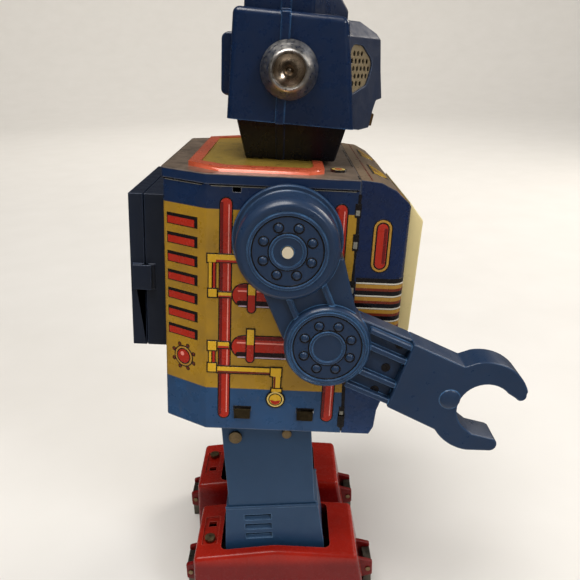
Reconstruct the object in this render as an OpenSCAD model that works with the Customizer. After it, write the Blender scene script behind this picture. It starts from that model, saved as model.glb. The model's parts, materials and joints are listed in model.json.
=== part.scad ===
// Battery-powered walking toy robot: lithographed tin torso, moulded plastic head, arms,
// legs and feet, with its gear train, picture drum and battery box inside.
// The robot faces -Y, +Z is up and the floor is Z = 0. Its right side is at -X.
// The origin is on the floor, under the middle of the whole robot from claw tips to battery box.
// Sizes are in millimetres. The torso, head and arms lean forward together about the hips.

/* [Torso] */
// Half width of the tin torso across its sides
torso_half = 46; // [44:1:48]
// Height of the tin torso with its lid
torso_h = 92; // [90:1:94]
// Thickness of the tinplate
tin = 0.6; // [0.4:0.1:0.8]
// Forward lean of the torso, head and arms over the hips, in degrees
lean = 4; // [0:1:5]

/* [Head] */
// Half width of the head across its sides
head_half = 27; // [25:1:28]
// Wall thickness of the plastic mouldings
wall = 1.8; // [1.4:0.2:2.2]

/* [Legs] */
// Height of the hip axle above the floor
hip_z = 102; // [100:1:104]
// Swing of the right leg ahead of upright at rest, in degrees
stride = 1.5; // [-3:0.5:3]
// Distance of each leg from the centre plane
leg_x = 23; // [22:1:24]
// Width of each foot
foot_w = 34; // [32:1:35]

/* [Drive] */
// Tooth module of the drive gears
tooth_m = 0.6; // [0.6:0.1:0.6]
// Running clearance around shafts and pins
run_gap = 0.1; // [0.05:0.01:0.1]
// Radius of the crank pins' path
crank_r = 3; // [2:0.5:3]

/* [Hidden] */
// Side outlines are written as [forward of the torso's rear fold, above the torso's bottom].
fold_y = 26.5;
hip = [20, 12];
shoulder = [26.5, 72];
elbow = [40.6, 40.6];
ear = [24.6, 123.3];
leg_drop = 85;
lever_link = [26.5, 58];
arm_ratio = (lever_link[1] - hip[1]) / (shoulder[1] - lever_link[1]);

axle_r = 1.5;
rod_r = 1.75;
sleeve_r = 4.2;
lever_t = 1.2;
lever_x = leg_x - lever_t / 2;
arm_lever_x = lever_x + lever_t + 1.4;

back_f = -15.4;
seam_f = 48.8;
front_f = 68;
corner_f = 65.7;
back_half = 37;
front_half = 30;
lid_v = torso_h - 3.2;
fold_r = 2;
corner_r = 5;

arm_in = torso_half + 0.8;
arm_out = 62;

foot_top = 27;
foot_peak = 30;
sole_t = 1.5;
foot_x = leg_x + 1;
ankle_z = hip_z - leg_drop * cos(stride);
ankle_y = leg_drop * sin(stride);

// How far the hips stand behind the middle of the whole robot.
claw_tip = [106.4, 27.4];
battery_back = [-29.2, 23.6];
function lean_back(p) = (hip[0] - p[0]) * cos(lean) - (p[1] - hip[1]) * sin(lean);
origin_y = -(lean_back(claw_tip) + lean_back(battery_back)) / 2;

$fn = 48;

// ---- outlines and placing ----

function yz(p) = [fold_y - p[0], p[1]];
function polar(r, a) = [r * cos(a), r * sin(a)];
function unit(p) = p / norm(p);

// Rounds each corner of an outline with an arc of radius r.
function corner_arc(a, b, c, r, n = 5) =
  let (
    in_dir = unit(a - b),
    out_dir = unit(c - b),
    half = acos(in_dir * out_dir) / 2,
    centre = b + unit(in_dir + out_dir) * r / sin(half),
    first = b + in_dir * r / tan(half) - centre,
    last = b + out_dir * r / tan(half) - centre,
    a0 = atan2(first[1], first[0]),
    turn = (atan2(last[1], last[0]) - a0 + 540) % 360 - 180
  )
  [for (i = [0:n]) centre + polar(r, a0 + turn * i / n)];
function rounded(pts, r) =
  let (n = len(pts))
  [for (i = [0:n - 1], p = corner_arc(pts[(i + n - 1) % n], pts[i], pts[(i + 1) % n], r)) p];

// The leaning frame of the torso, head and arms.
module upper() {
  translate([0, origin_y, hip_z]) rotate([lean, 0, 0]) translate([0, hip[0] - fold_y, -hip[1]]) children();
}

// Turns a drawing made in [Y, Z] so that its extrusion runs along +X from x0.
module along_x(x0 = 0) {
  translate([x0, 0, 0]) rotate([90, 0, 90]) children();
}

module side_prism(pts, x0, x1) {
  along_x(x0) linear_extrude(x1 - x0) polygon([for (p = pts) yz(p)]);
}

// Plan outlines are written as [across, forward of the rear fold].
module plan_prism(pts, v0, v1) {
  translate([0, 0, v0]) linear_extrude(v1 - v0) polygon([for (p = pts) [p[0], fold_y - p[1]]]);
}

// A cylinder along X at a point of the side view.
module pin_x(at, r, x0, x1) {
  along_x(x0) translate(yz(at)) cylinder(r = r, h = x1 - x0);
}

module ring_x(at, r_out, r_in, x0, x1) {
  difference() {
    pin_x(at, r_out, x0, x1);
    pin_x(at, r_in, x0 - 1, x1 + 1);
  }
}

module both_sides() {
  children();
  mirror([1, 0, 0]) children();
}

function mirrored(half) = concat(half, [for (i = [len(half) - 1:-1:0]) [-half[i][0], half[i][1]]]);

// ---- torso ----

function torso_plan(inset = 0) =
  let (
    back = [back_half - inset * 0.6, back_f + inset],
    fold = [torso_half - inset, inset * 0.6],
    seam = [torso_half - inset, seam_f]
  )
  mirrored(concat(
    corner_arc([0, back[1]], back, fold, fold_r - inset), corner_arc(back, fold, seam, fold_r - inset), [seam]
  ));

function fascia_plan(inset = 0) =
  let (
    seam = [torso_half - inset, seam_f - 1],
    corner = [torso_half - inset, corner_f - inset],
    face = [front_half - 1, front_f - inset]
  )
  mirrored(concat([seam], corner_arc(seam, corner, face, corner_r - inset), [face]));

// The front leans back below the screen and rounds over to the lid above it.
function fascia_side(inset = 0, bottom = 0) = [
  [seam_f - 2, bottom], [59 - inset, bottom], [60.5 - inset, 3], [61 - inset, 10], [67.5 - inset, 30],
  [front_f + 2, 37], [front_f + 2, 79],
  [68.3 - inset, 80.6 - inset * 0.5], [64.9 - inset, 85 - inset * 0.7], [60.4, 89 - inset],
  [55.4, 91.4 - inset], [seam_f, torso_h - inset], [seam_f - 2, torso_h - inset]
];

module torso_solid(inset, v0, v1) {
  plan_prism(torso_plan(inset), v0, v1);
}

module tab_slots() {
  for (f = [13, 35.5])
    side_prism([[f - 3.1, 7.4], [f + 3.1, 7.4], [f + 3.1, 8.8], [f - 3.1, 8.8]],
      -torso_half - 1, torso_half + 1);
}

battery_half = 28;
battery_v = [battery_back[1], 80.8];
battery_seam_f = -23.9;
battery_lid_f = battery_back[0];

module torso_body() {
  color("goldenrod") upper() difference() {
    torso_solid(0, 0, lid_v);
    torso_solid(tin, -1, lid_v + 1);
    plan_prism([[-60, seam_f], [60, seam_f], [60, seam_f + 9], [-60, seam_f + 9]], -1, torso_h);
    tab_slots();
    pin_x(shoulder, sleeve_r + run_gap, -torso_half - 1, torso_half + 1);
    plan_prism([[-battery_half + 1, back_f - 2], [battery_half - 1, back_f - 2],
      [battery_half - 1, back_f + 2], [-battery_half + 1, back_f + 2]], battery_v[0] + 1, battery_v[1] - 1);
    plan_prism([[-7.2, back_f - 2], [7.2, back_f - 2], [7.2, back_f + 2], [-7.2, back_f + 2]], 10, 15);
    both_sides() side_prism([[8.4, lid_v - 2.4], [11, lid_v - 2.4], [11, lid_v + 1], [8.4, lid_v + 1]],
      torso_half - 2, torso_half + 1);
  }
}

window_half = 24;
window_v = [36, 74];

module front_fascia() {
  color("midnightblue") upper() difference() {
    intersection() {
      plan_prism(fascia_plan(), 0, torso_h);
      side_prism(fascia_side(), -torso_half - 1, torso_half + 1);
    }
    intersection() {
      plan_prism(fascia_plan(tin), -1, torso_h);
      side_prism(fascia_side(tin, -1), -torso_half - 1, torso_half + 1);
    }
    plan_prism([[-60, 0], [60, 0], [60, seam_f + 0.2], [-60, seam_f + 0.2]], -1, torso_h + 1);
    plan_prism([[-window_half, 60], [window_half, 60], [window_half, 70], [-window_half, 70]],
      window_v[0], window_v[1]);
  }
}

frame_outer = [[42, 32.5], [42, 3.5], [33.5, -7.4]];
frame_inner = [[37.6, 32.5], [37.6, 5.2], [31.2, -3.4]];

function closed_frame(corners, front) = mirrored(concat([[corners[0][0] - 4, front]], corners));

module top_plate() {
  color("darkgoldenrod") upper() {
    difference() {
      torso_solid(-0.5, lid_v, torso_h);
      torso_solid(tin - 0.5, lid_v - 1, torso_h - tin);
      plan_prism([[-60, seam_f], [60, seam_f], [60, seam_f + 9], [-60, seam_f + 9]], -1, torso_h + 1);
    }
    difference() {
      plan_prism(closed_frame(frame_outer, 37.5), torso_h, torso_h + 1.6);
      plan_prism(closed_frame(frame_inner, 34), torso_h - 0.1, torso_h + 2);
      plan_prism([[-21, 30], [21, 30], [21, 45], [-21, 45]], torso_h + 1.2, torso_h + 2);
    }
    plan_prism(closed_frame(frame_inner, 34), torso_h, torso_h + 1.2);
    both_sides() translate([32, fold_y - 42.5, torso_h]) cylinder(r = 2.6, h = 0.8);
  }
}

leg_hole = [leg_x - 12.6, leg_x + 12.6];

module base_plate() {
  color("steelblue") upper() difference() {
    union() {
      plan_prism(torso_plan(tin + 0.05), 0.4, 1.2);
      plan_prism(mirrored([[torso_half - tin - 0.05, seam_f - 1], [torso_half - tin - 0.05, 58]]), 0.4, 1.2);
    }
    both_sides() plan_prism([[leg_hole[0], 0.4], [leg_hole[1], 0.4], [leg_hole[1], 42],
      [leg_hole[0], 42]], -1, 3);
  }
}

chassis_v = 7.6;
chassis_t = 1;

module chassis_plate() {
  color("silver") upper() {
    difference() {
      plan_prism([[-44.8, -12], [44.8, -12], [44.8, 59.4], [-44.8, 59.4]], chassis_v, chassis_v + chassis_t);
      both_sides() plan_prism([[-60, -20], [-33, -20], [-46, 4], [-60, 4]], 0, 20);
      both_sides() plan_prism([[lever_x - 1.6, 1], [lever_x + 2.8, 1], [lever_x + 2.8, 40],
        [lever_x - 1.6, 40]], 0, 20);
    }
    both_sides() for (f = [13, 35.5]) {
      side_prism([[f - 2.9, 7.6], [f + 2.9, 7.6], [f + 2.9, 8.6], [f - 2.9, 8.6]], 44.7, torso_half + 0.9);
      side_prism([[f - 2.9, 4.8], [f + 2.9, 4.8], [f + 2.9, 8.6],
        [f - 2.9, 8.6]], torso_half + 0.1, torso_half + 0.9);
    }
  }
}

bezel_v = [27.2, 84.1];

module screen_bezel() {
  color("beige") upper() difference() {
    side_prism([[front_f + 0.05, bezel_v[1] - 1.6], [73.4, 76], [72.7, 34.7], [front_f + 0.05, bezel_v[0]]],
      -front_half, front_half);
    side_prism([[60, window_v[1] - 3], [69.8, window_v[1] - 3], [75, window_v[1] + 1],
      [75, window_v[0] - 1], [69.8, window_v[0] + 3], [60, window_v[0] + 3]],
        -window_half + 2, window_half - 2);
    side_prism([[60, window_v[1] + 1], [69.4, window_v[1] + 1], [69.4, window_v[0] - 1],
      [60, window_v[0] - 1]],
      -window_half - 1, window_half + 1);
  }
}

module screen_window() {
  color("lightcyan", 0.5) upper()
    side_prism([[front_f + 0.2, window_v[1] + 0.7], [front_f + 1.2, window_v[1] + 0.7],
      [front_f + 1.2, window_v[0] - 0.7], [front_f + 0.2, window_v[0] - 0.7]],
        -window_half - 0.7, window_half + 0.7);
}

// ---- head ----

neck_v = torso_h + 1.2;
head_split_f = 24.6;

head_box_side = [[4.4, 107.1], [5.9, 142], [43.2, 140.2], [47.2, 105.2]];
head_tier_side = [[9, 139], [9, 148.6], [10.4, 150], [39.4, 150], [43.3, 145.3], [47.7, 140], [46, 137]];
head_lump_side = [[1.5, 115], [1.5, 133], [3, 134.4], [8, 134.4], [8, 113.8], [3, 113.8]];
neck_side = [[10.6, neck_v], [7.2, 108], [45.6, 108], [42, neck_v]];
face_side = [
  [42, 139.6], [48, 139.7], [54.6, 136.2], [56.2, 134.2], [57.3, 124.2], [58.8, 114.5], [56.4, 114],
  [55.3, 110.7], [54, 104.6], [49.9, 104.2], [46, 105], [42, 107]
];

module neck_solid(grow) {
  intersection() {
    side_prism([for (p = neck_side) [p[0] + (p[0] > 20 ? grow : -grow), p[1]]], -30, 30);
    translate([0, 60, 0]) rotate([90, 0, 0]) linear_extrude(120)
      polygon([[-20 - grow, neck_v], [20 + grow, neck_v], [24.5 + grow, 108.5], [-24.5 - grow, 108.5]]);
  }
}

cheek_back = [head_half - 1, 43.5];
cheek_front = [4, 58];
cheek_turn = atan2(cheek_front[1] - cheek_back[1], cheek_back[0] - cheek_front[0]);

module face_solid(inset) {
  cheek = mirrored([[cheek_back[0] - inset, 41], cheek_back - [1, 0.5] * inset, cheek_front - [0, inset],
    [3, 59 - inset]]);
  intersection() {
    side_prism(face_side, -head_half, head_half);
    plan_prism(cheek, 102 + inset, 142 - inset);
  }
}

module head_outer() {
  side_prism(rounded(head_box_side, 2.4), -head_half, head_half);
  side_prism(head_tier_side, -20, 20);
  side_prism(head_lump_side, -17, 17);
  neck_solid(0);
  face_solid(0);
  both_sides() side_prism([[20.7, 106], [21.6, 140.4], [24.8, 140.4], [23.9, 106]],
    head_half - 1, head_half + 0.9);
}

module head_cavity() {
  side_prism([[4.4 + wall, 107.1 + wall], [5.9 + wall, 142 - wall], [43.2 - wall, 140.2 - wall],
    [47.2 - wall, 105.2 + wall]],
    -head_half + wall, head_half - wall);
  side_prism([[9 + wall, 130], [9 + wall, 150 - wall], [39, 150 - wall], [44, 139]], -20 + wall, 20 - wall);
  neck_solid(-wall);
  translate([0, 0, -2]) neck_solid(-wall);
  face_solid(wall + 0.4);
}

// The opening in each cheek, drawn as [along the cheek, up], from depth d0 to d1 behind it.
module grille_window(d0, d1) {
  outline = [[1.8, 132.4], [10.4, 131.9], [18.9, 126.9], [15.1, 119.3], [4.3, 116.3], [2.2, 117.4]];
  both_sides() translate([cheek_back[0], fold_y - cheek_back[1], 0]) rotate([0, 0, cheek_turn - 180])
    rotate([90, 0, 0]) translate([0, 0, d0]) linear_extrude(d1 - d0) polygon(rounded(outline, 1.4));
}

module head_shell() {
  difference() {
    head_outer();
    head_cavity();
    both_sides() pin_x(ear, 7.2, head_half - 3, head_half + 3);
    both_sides() pin_x(ear, 9.6, head_half, head_half + 3);
    side_prism([[55.2, 109.2], [60, 109.2], [60, 104.6], [54.2, 104.6]], -5, 5);
    grille_window(-4, 4);
  }
}

module half_space(front) {
  plan_prism(front ? [[-60, head_split_f], [60, head_split_f], [60, 90], [-60, 90]]
                   : [[-60, -40], [60, -40], [60, head_split_f], [-60, head_split_f]], neck_v - 5, 160);
}

module head_front_shell() {
  color("slateblue") upper() intersection() {
    head_shell();
    half_space(true);
  }
}

module head_rear_shell() {
  color("darkslateblue") upper() intersection() {
    head_shell();
    half_space(false);
  }
}

module face_grilles() {
  color("tan") upper() intersection() {
    grille_window(0.9, 1.5);
    half_space(true);
  }
}

module mouth_bar() {
  color("peru") upper() side_prism([[55.0, 109], [56.3, 109], [55.6, 104.8], [54.4, 104.8]], -4.8, 4.8);
}

module ear_cones() {
  color("gainsboro") upper() both_sides() along_x(head_half) translate(yz(ear)) rotate_extrude()
    polygon([[7.2, 0], [9.4, 0], [9.2, 1.2], [6.9, 7.4], [6.3, 8], [5.6, 7.6], [5.4, 6.6], [6.6, 2]]);
}

module ear_reflectors() {
  color("whitesmoke") upper() both_sides() along_x(head_half) translate(yz(ear)) rotate_extrude()
    polygon([[0, -1.4], [7, -1.4], [7, -0.6], [6.2, 0.4], [4.8, 2.4], [1.2, 1.2], [0.6, 3.6], [0, 3.8]]);
}

// ---- arms ----

left_drop = 22;
arm_ring_r = 11.7;
rivet_count = 8;

module disc_detail(at, ring_r, rivet_ring, boss_r, x) {
  ring_x(at, ring_r + 0.3, ring_r - 0.5, x - 0.2, x + 0.5);
  ring_x(at, boss_r + 0.5, boss_r - 0.3, x - 0.2, x + 0.5);
  for (i = [0:rivet_count - 1])
    pin_x(at + polar(rivet_ring, 360 / rivet_count * (i + 0.5)), 1.3, x - 0.2, x + 0.7);
}

upper_arm = [[19.2, 57.4], [26.4, 41.4], [40.6, 40.6], [49.4, 51.7], [44, 69.9], [26.5, 72]];
forearm = [[40.6, 40.6], [50.8, 50.1], [68.3, 43.3], [61.6, 20.2], [48.9, 25.9]];

claw_c = [93.6, 20.2];
claw_inner = 9.4;
claw_outer = 17.6;

hand = concat(
  [[61.6, 20.2], [68.3, 43.3], [84.1, 36.3], [89.2, 38.1], [96.4, 37.2], [102.6, 33.1], claw_tip],
  [[105.6, 25.2], [103.1, 26.2]],
  [for (a = [68:19:220]) claw_c + polar(claw_inner, a)],
  [[87.3, 14.1], [91.8, 10.8], [98.6, 9.6], [100, 8.1], [99.4, 5.7], [93, 4.8], [84.3, 6.6], [75.4, 14.3]]
);

// The right arm as moulded, drawn on the +X side; the robot's right arm is its mirror image.
module arm_moulding() {
  difference() {
    union() {
      pin_x(shoulder, 18, arm_in, arm_in + 2.2);
      pin_x(shoulder, 16.3, arm_in + 2.2, arm_out - 2);
      along_x(arm_out - 2) translate(yz(shoulder)) cylinder(r1 = 16.3, r2 = 14.6, h = 2);
      disc_detail(shoulder, arm_ring_r, 7.4, 5.5, arm_out);
      pin_x(elbow, 14, 50.7, arm_out - 0.8);
      along_x(arm_out - 0.8) translate(yz(elbow)) cylinder(r1 = 14, r2 = 13.2, h = 0.8);
      disc_detail(elbow, 11.2, 6.6, 5.1, arm_out);
      side_prism(upper_arm, 50.7, arm_out - 3.2);
      side_prism(forearm, 50.7, arm_out - 3);
      side_prism(hand, 50.7, arm_out - 0.4);
      for (n = [4.9, -3.3]) side_prism(arm_rib(n), 51, arm_out - 1);
      pin_x([82, 24.1], 3.5, 55, arm_out + 0.4);
    }
    pin_x(shoulder, rod_r + run_gap, 0, 90);
    pin_x(shoulder, 4.6, arm_out + 0.01, 90);
    for (p = [[65.2, 41.9], [61, 33.4], [58.2, 24.9]]) pin_x(p + [-2, -1], 1.3, 56, 90);
  }
}

forearm_dir = unit([1, -0.41]);
forearm_up = [-forearm_dir[1], forearm_dir[0]];
function arm_rib(n) = [
  elbow + forearm_dir * 12 + forearm_up * (n - 1.2), elbow + forearm_dir * 28 + forearm_up * (n - 1.2),
  elbow + forearm_dir * 28 + forearm_up * (n + 1.2), elbow + forearm_dir * 12 + forearm_up * (n + 1.2)
];

module right_arm() {
  color("steelblue") upper() mirror([1, 0, 0]) arm_moulding();
}

// The left arm is pushed onto its rod end lower than the right one, as the stride has it.
module left_arm() {
  color("steelblue") upper() translate([0, yz(shoulder)[0], shoulder[1]]) rotate([left_drop, 0, 0])
    translate([0, -yz(shoulder)[0], -shoulder[1]]) arm_moulding();
}

module shoulder_rod() {
  color("silver") upper() pin_x(shoulder, rod_r, -arm_out - 0.6, arm_out + 0.6);
}

// The lever hangs from the shoulder rod, and its slot takes the leg lever's pin.
module arm_lever(swing) {
  link = shoulder[1] - lever_link[1];
  translate([0, fold_y - shoulder[0], shoulder[1]]) rotate([swing, 0, 0]) {
    along_x(arm_lever_x) difference() {
      linear_extrude(lever_t) difference() {
        union() {
          circle(r = 5.2);
          translate([-3, -link - 4]) square([6, link + 4]);
        }
        translate([-1.7, -link - 2.6]) square([3.4, 5.6]);
      }
      translate([0, 0, -1]) cylinder(r = rod_r + run_gap, h = 9);
    }
    along_x(arm_lever_x + lever_t) difference() {
      cylinder(r = sleeve_r, h = arm_in - arm_lever_x - lever_t);
      translate([0, 0, -1]) cylinder(r = rod_r + run_gap, h = 60);
    }
  }
}

module right_arm_lever() {
  color("silver") upper() mirror([1, 0, 0]) arm_lever(stride * arm_ratio);
}

module left_arm_lever() {
  color("silver") upper() arm_lever(-stride * arm_ratio);
}

// ---- battery box on the back ----

cell_r = 13.1;
cell_len = 50;
cell_f = -14.6;
tub_f = -1.3;
lid_pin = [battery_half + 2, battery_seam_f - 0.2];
knuckle_r = 1.9;
knuckle_v = [[36, 42], [62, 68]];

module box_ring(half, f0, f1, v0, v1) {
  plan_prism([[-half, f0], [half, f0], [half, f1], [-half, f1]], v0, v1);
}

module knuckle(v0, v1) {
  translate([lid_pin[0], fold_y - lid_pin[1], v0]) difference() {
    cylinder(r = knuckle_r, h = v1 - v0);
    translate([0, 0, -1]) cylinder(r = 0.8 + run_gap, h = v1 - v0 + 2);
  }
}

module battery_box() {
  color("darkslategray") upper() {
    difference() {
      union() {
        box_ring(battery_half, battery_seam_f + 0.1, back_f - 0.05, battery_v[0], battery_v[1]);
        box_ring(battery_half - 1.1, back_f - 0.1, tub_f + 1, battery_v[0] + 1.1, battery_v[1] - 1.1);
      }
      box_ring(battery_half - 1.6, battery_seam_f - 3, tub_f, battery_v[0] + 1.6, battery_v[1] - 1.6);
    }
    for (k = knuckle_v) {
      knuckle(k[0], k[1]);
      plan_prism([[battery_half - 0.5, -22.9], [lid_pin[0] + 0.4, -22.9], [lid_pin[0] + 0.4, -21.4],
        [battery_half - 0.5, -20.4]], k[0], k[1]);
    }
    plan_prism([[-battery_half - 1.2, -22.6], [-battery_half + 0.2, -22.6], [-battery_half + 0.2, -20.4],
      [-battery_half - 0.6, -20.4]], 46, 55.4);
  }
}

module battery_lid() {
  color("darkslategray") upper() {
    difference() {
      box_ring(battery_half, battery_lid_f, battery_seam_f - 0.1, battery_v[0], battery_v[1]);
      box_ring(battery_half - 1.6, battery_lid_f + 1.2, battery_seam_f + 3, battery_v[0] + 1.6,
        battery_v[1] - 1.6);
    }
    mid = [knuckle_v[0][1] + 0.3, knuckle_v[1][0] - 0.3];
    knuckle(mid[0], mid[1]);
    plan_prism([[battery_half - 0.5, -25.4], [lid_pin[0] + 0.4, -25.4], [lid_pin[0] + 0.4, -26.6],
      [battery_half - 0.5, -27.6]], mid[0], mid[1]);
    plan_prism([[-battery_half - 1.9, -28.2], [-battery_half + 0.2, -28.2], [-battery_half + 0.2, -24.4],
      [-battery_half - 1.3, -24.4], [-battery_half - 1.3, -21.4], [-battery_half - 1.9, -21.4]], 46, 55.4);
  }
}

module lid_hinge_pin() {
  color("silver") upper() translate([lid_pin[0], fold_y - lid_pin[1], knuckle_v[0][0] - 0.8])
    cylinder(r = 0.8, h = knuckle_v[1][1] - knuckle_v[0][0] + 1.6);
}

module battery_cells() {
  color("firebrick") upper() for (side = [-1, 1])
    translate([side * (cell_r + 0.12), fold_y - cell_f, battery_v[0] + 3.4]) {
      cylinder(r = cell_r, h = cell_len - 2);
      translate([0, 0, cell_len - 2]) cylinder(r = 3.2, h = 1.6);
    }
}

module battery_contacts() {
  color("gold") upper() {
    box_ring(cell_r * 2 - 1, cell_f + 5, cell_f - 5, battery_v[0] + 1.6, battery_v[0] + 2.1);
    for (side = [-1, 1]) translate([side * (cell_r + 0.12), fold_y - cell_f,
      battery_v[0] + 2.1]) difference() {
      cylinder(r = 5, h = 1.3);
      translate([0, 0, -1]) cylinder(r = 4.2, h = 4);
    }
    for (side = [-1, 1]) translate([side * (cell_r + 0.12), fold_y - cell_f, battery_v[1] - 2.3])
      translate([-5, -5, 0]) cube([10, 10, 0.6]);
  }
}

// ---- electrics ----

switch_v = 12.5;

module switch_frame() {
  color("silver") upper() difference() {
    box_ring(9, back_f + tin + 0.05, back_f + tin + 3.4, switch_v - 3.4, switch_v + 3.4);
    box_ring(6.6, back_f - 1, back_f + tin + 4, switch_v - 1.3, switch_v + 1.3);
  }
}

module switch_slider() {
  color("firebrick") upper() {
    plan_prism([[-4.6, back_f - 3], [-0.8, back_f - 3], [-0.8, back_f + tin + 3.2],
      [-4.6, back_f + tin + 3.2]],
      switch_v - 1.1, switch_v + 1.1);
  }
}

// ---- gear train ----

wheel_teeth = 36;
pinion_teeth = 12;
drive_teeth = 24;
idler_teeth = 30;

function mesh_distance(na, nb) = tooth_m * (na + nb) / 2;
crank_at = [20, 36];
second_at = crank_at + polar(mesh_distance(wheel_teeth, pinion_teeth), 120);
first_at = second_at + polar(mesh_distance(wheel_teeth, pinion_teeth), 48);
motor_at = first_at + polar(mesh_distance(wheel_teeth, pinion_teeth), 150);
idler_at = crank_at + polar(mesh_distance(drive_teeth, idler_teeth), 30);
drum_at = idler_at + polar(mesh_distance(idler_teeth, wheel_teeth), 38);

// Angle, in [Y, Z], of the line from one gear's centre to the next.
function mesh_angle(a, b) = let (d = yz(b) - yz(a)) atan2(d[1], d[0]);
// Turn of a gear that puts its gap on the tooth of a driver that is itself turned.
function mesh_turn(driver_turn, driver_n, n, a, b) =
  let (line = mesh_angle(a, b), phase = (line - driver_turn) * driver_n / 360)
  line + 180 - (0.5 - phase) * 360 / n;

second_turn = mesh_turn(0, wheel_teeth, pinion_teeth, crank_at, second_at);
first_turn = mesh_turn(second_turn, wheel_teeth, pinion_teeth, second_at, first_at);
motor_turn = mesh_turn(first_turn, wheel_teeth, pinion_teeth, first_at, motor_at);
idler_turn = mesh_turn(0, drive_teeth, idler_teeth, crank_at, idler_at);
drum_turn = mesh_turn(idler_turn, idler_teeth, wheel_teeth, idler_at, drum_at);

backlash = 0.88;

// One involute tooth's flank from the base circle to the tip, as [radius, half angle] pairs.
function involute(roll) = (tan(roll) * 180 / PI) - roll;
function flank(n, steps = 4) =
  let (
    pitch = tooth_m * n / 2,
    base = pitch * cos(20),
    tip = pitch + 0.75 * tooth_m,
    half = 90 / n * backlash + involute(20)
  )
  [for (i = [0:steps]) let (r = base + (tip - base) * i / steps) [r, half - involute(acos(base / r))]];

module gear_outline(n) {
  root = tooth_m * n / 2 - 1.15 * tooth_m;
  f = flank(n);
  polygon([for (t = [0:n - 1]) let (mid = 360 / n * t) each concat(
    [polar(root, mid - f[0][1] - 0.4)],
    [for (p = f) polar(p[0], mid - p[1])],
    [for (i = [len(f) - 1:-1:0]) polar(f[i][0], mid + f[i][1])],
    [polar(root, mid + f[0][1] + 0.4)]
  )]);
}

module gear(at, n, turn, x0, x1, bore) {
  along_x(x0) translate(yz(at)) rotate([0, 0, turn]) difference() {
    linear_extrude(x1 - x0) gear_outline(n);
    translate([0, 0, -1]) cylinder(r = bore, h = x1 - x0 + 2);
  }
}

// A wheel with its pinion in one moulding, spinning on a fixed axle.
module double_gear(at, turn, pinion_x0, wheel_x0, wheel_x1) {
  gear(at, pinion_teeth, turn, pinion_x0, wheel_x0 + 0.01, axle_r + run_gap);
  gear(at, wheel_teeth, turn, wheel_x0, wheel_x1, axle_r + run_gap);
}

module crank_gear() {
  color("white") upper() gear(crank_at, wheel_teeth, 0, -9, -6, axle_r);
}

module second_gear() {
  color("white") upper() double_gear(second_at, second_turn, -10, -4, -1);
}

module first_gear() {
  color("white") upper() double_gear(first_at, first_turn, -4.5, 0.5, 3.5);
}

module motor_pinion() {
  color("gold") upper() {
    gear(motor_at, pinion_teeth, motor_turn, 0, 4, 0.9);
    pin_x(motor_at, 0.95, -0.5, 14);
  }
}

motor_r = 9.5;

module motor_case() {
  color("silver") upper() difference() {
    union() {
      pin_x(motor_at, motor_r, 13.6, 38.6);
      pin_x(motor_at, 3, 38.6, 40.2);
    }
    pin_x(motor_at, 1.05, 13, 15);
  }
}

module drum_drive_gear() {
  color("white") upper() gear(crank_at, drive_teeth, 0, 14.5, 17.5, axle_r);
}

module drum_idler_gear() {
  color("white") upper() gear(idler_at, idler_teeth, idler_turn, 14.5, 17.5, axle_r + run_gap);
}

module drum_gear() {
  color("white") upper() {
    gear(drum_at, wheel_teeth, drum_turn, 14.5, 17.5, axle_r - 0.1);
    pin_x(drum_at, axle_r, 10, 21.6);
    pin_x(drum_at, 3.4, 13.05, 14.6);
  }
}

drum_r = 15;

module picture_drum() {
  color("lightyellow") upper() difference() {
    pin_x(drum_at, drum_r, -19, 13);
    pin_x(drum_at, drum_r - 0.8, -20, 12);
    pin_x(drum_at, axle_r, 0, 20);
  }
}

module crankshaft() {
  color("silver") upper() {
    pin_x(crank_at, axle_r, -18.2, 18.2);
    for (side = [-1, 1]) {
      x = side > 0 ? 18 : -19.6;
      pin_x(crank_at, 6, x, x + 1.6);
      pin_at = crank_at + [side * crank_r, 0];
      pin_x(pin_at, axle_r, side > 0 ? 19.5 : -24.8, side > 0 ? 24.8 : -19.5);
    }
  }
}

plate_outline = [
  [13, 8.8], [27, 8.8], [38, 41], [36.5, 47.5], [31, 54], [31, 77], [4, 77], [1, 70], [1, 42], [10, 28]
];

module gearbox_plates() {
  color("silver") upper() difference() {
    union() {
      for (x = [-13.5, 12.5]) side_prism(plate_outline, x, x + 1);
      for (p = [[5, 73.6], [16, 12]]) pin_x(p, 2, -13, 13);
    }
    for (p = [hip, crank_at, second_at, first_at, idler_at]) pin_x(p, axle_r + run_gap, -20, 20);
    pin_x(shoulder, rod_r + run_gap, -20, 20);
    pin_x(motor_at, 2, 0, 20);
    pin_x(motor_at, 2, -20, 0);
  }
}

module gear_axles() {
  color("gray") upper() {
    for (p = [second_at, first_at]) pin_x(p, axle_r, -14, 14);
    pin_x(idler_at, axle_r, 12, 18.4);
  }
}

module hip_axle() {
  color("gray") upper() pin_x(hip, axle_r, -lever_x - 3.2, lever_x + 3.2);
}

module drum_brackets() {
  color("silver") upper() difference() {
    for (x = [-21, 20]) side_prism(
      [[44, chassis_v + chassis_t], [56, chassis_v + chassis_t], [drum_at[0] + 4, drum_at[1] + 4],
       [drum_at[0] - 4, drum_at[1] + 4]], x, x + 1);
    pin_x(drum_at, axle_r + run_gap, 15, 25);
    pin_x(drum_at, 3.05, -25, -15);
  }
}

module bulb_holder() {
  color("goldenrod") upper() ring_x(drum_at, 3, 2.3, -21.6, -12);
}

module bulb() {
  color("lightyellow") upper() {
    pin_x(drum_at, 2.2, -21, -10);
    along_x(-8) translate(yz(drum_at)) sphere(r = 3.2);
  }
}

// ---- wiring ----

wire_r = 0.6;

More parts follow.
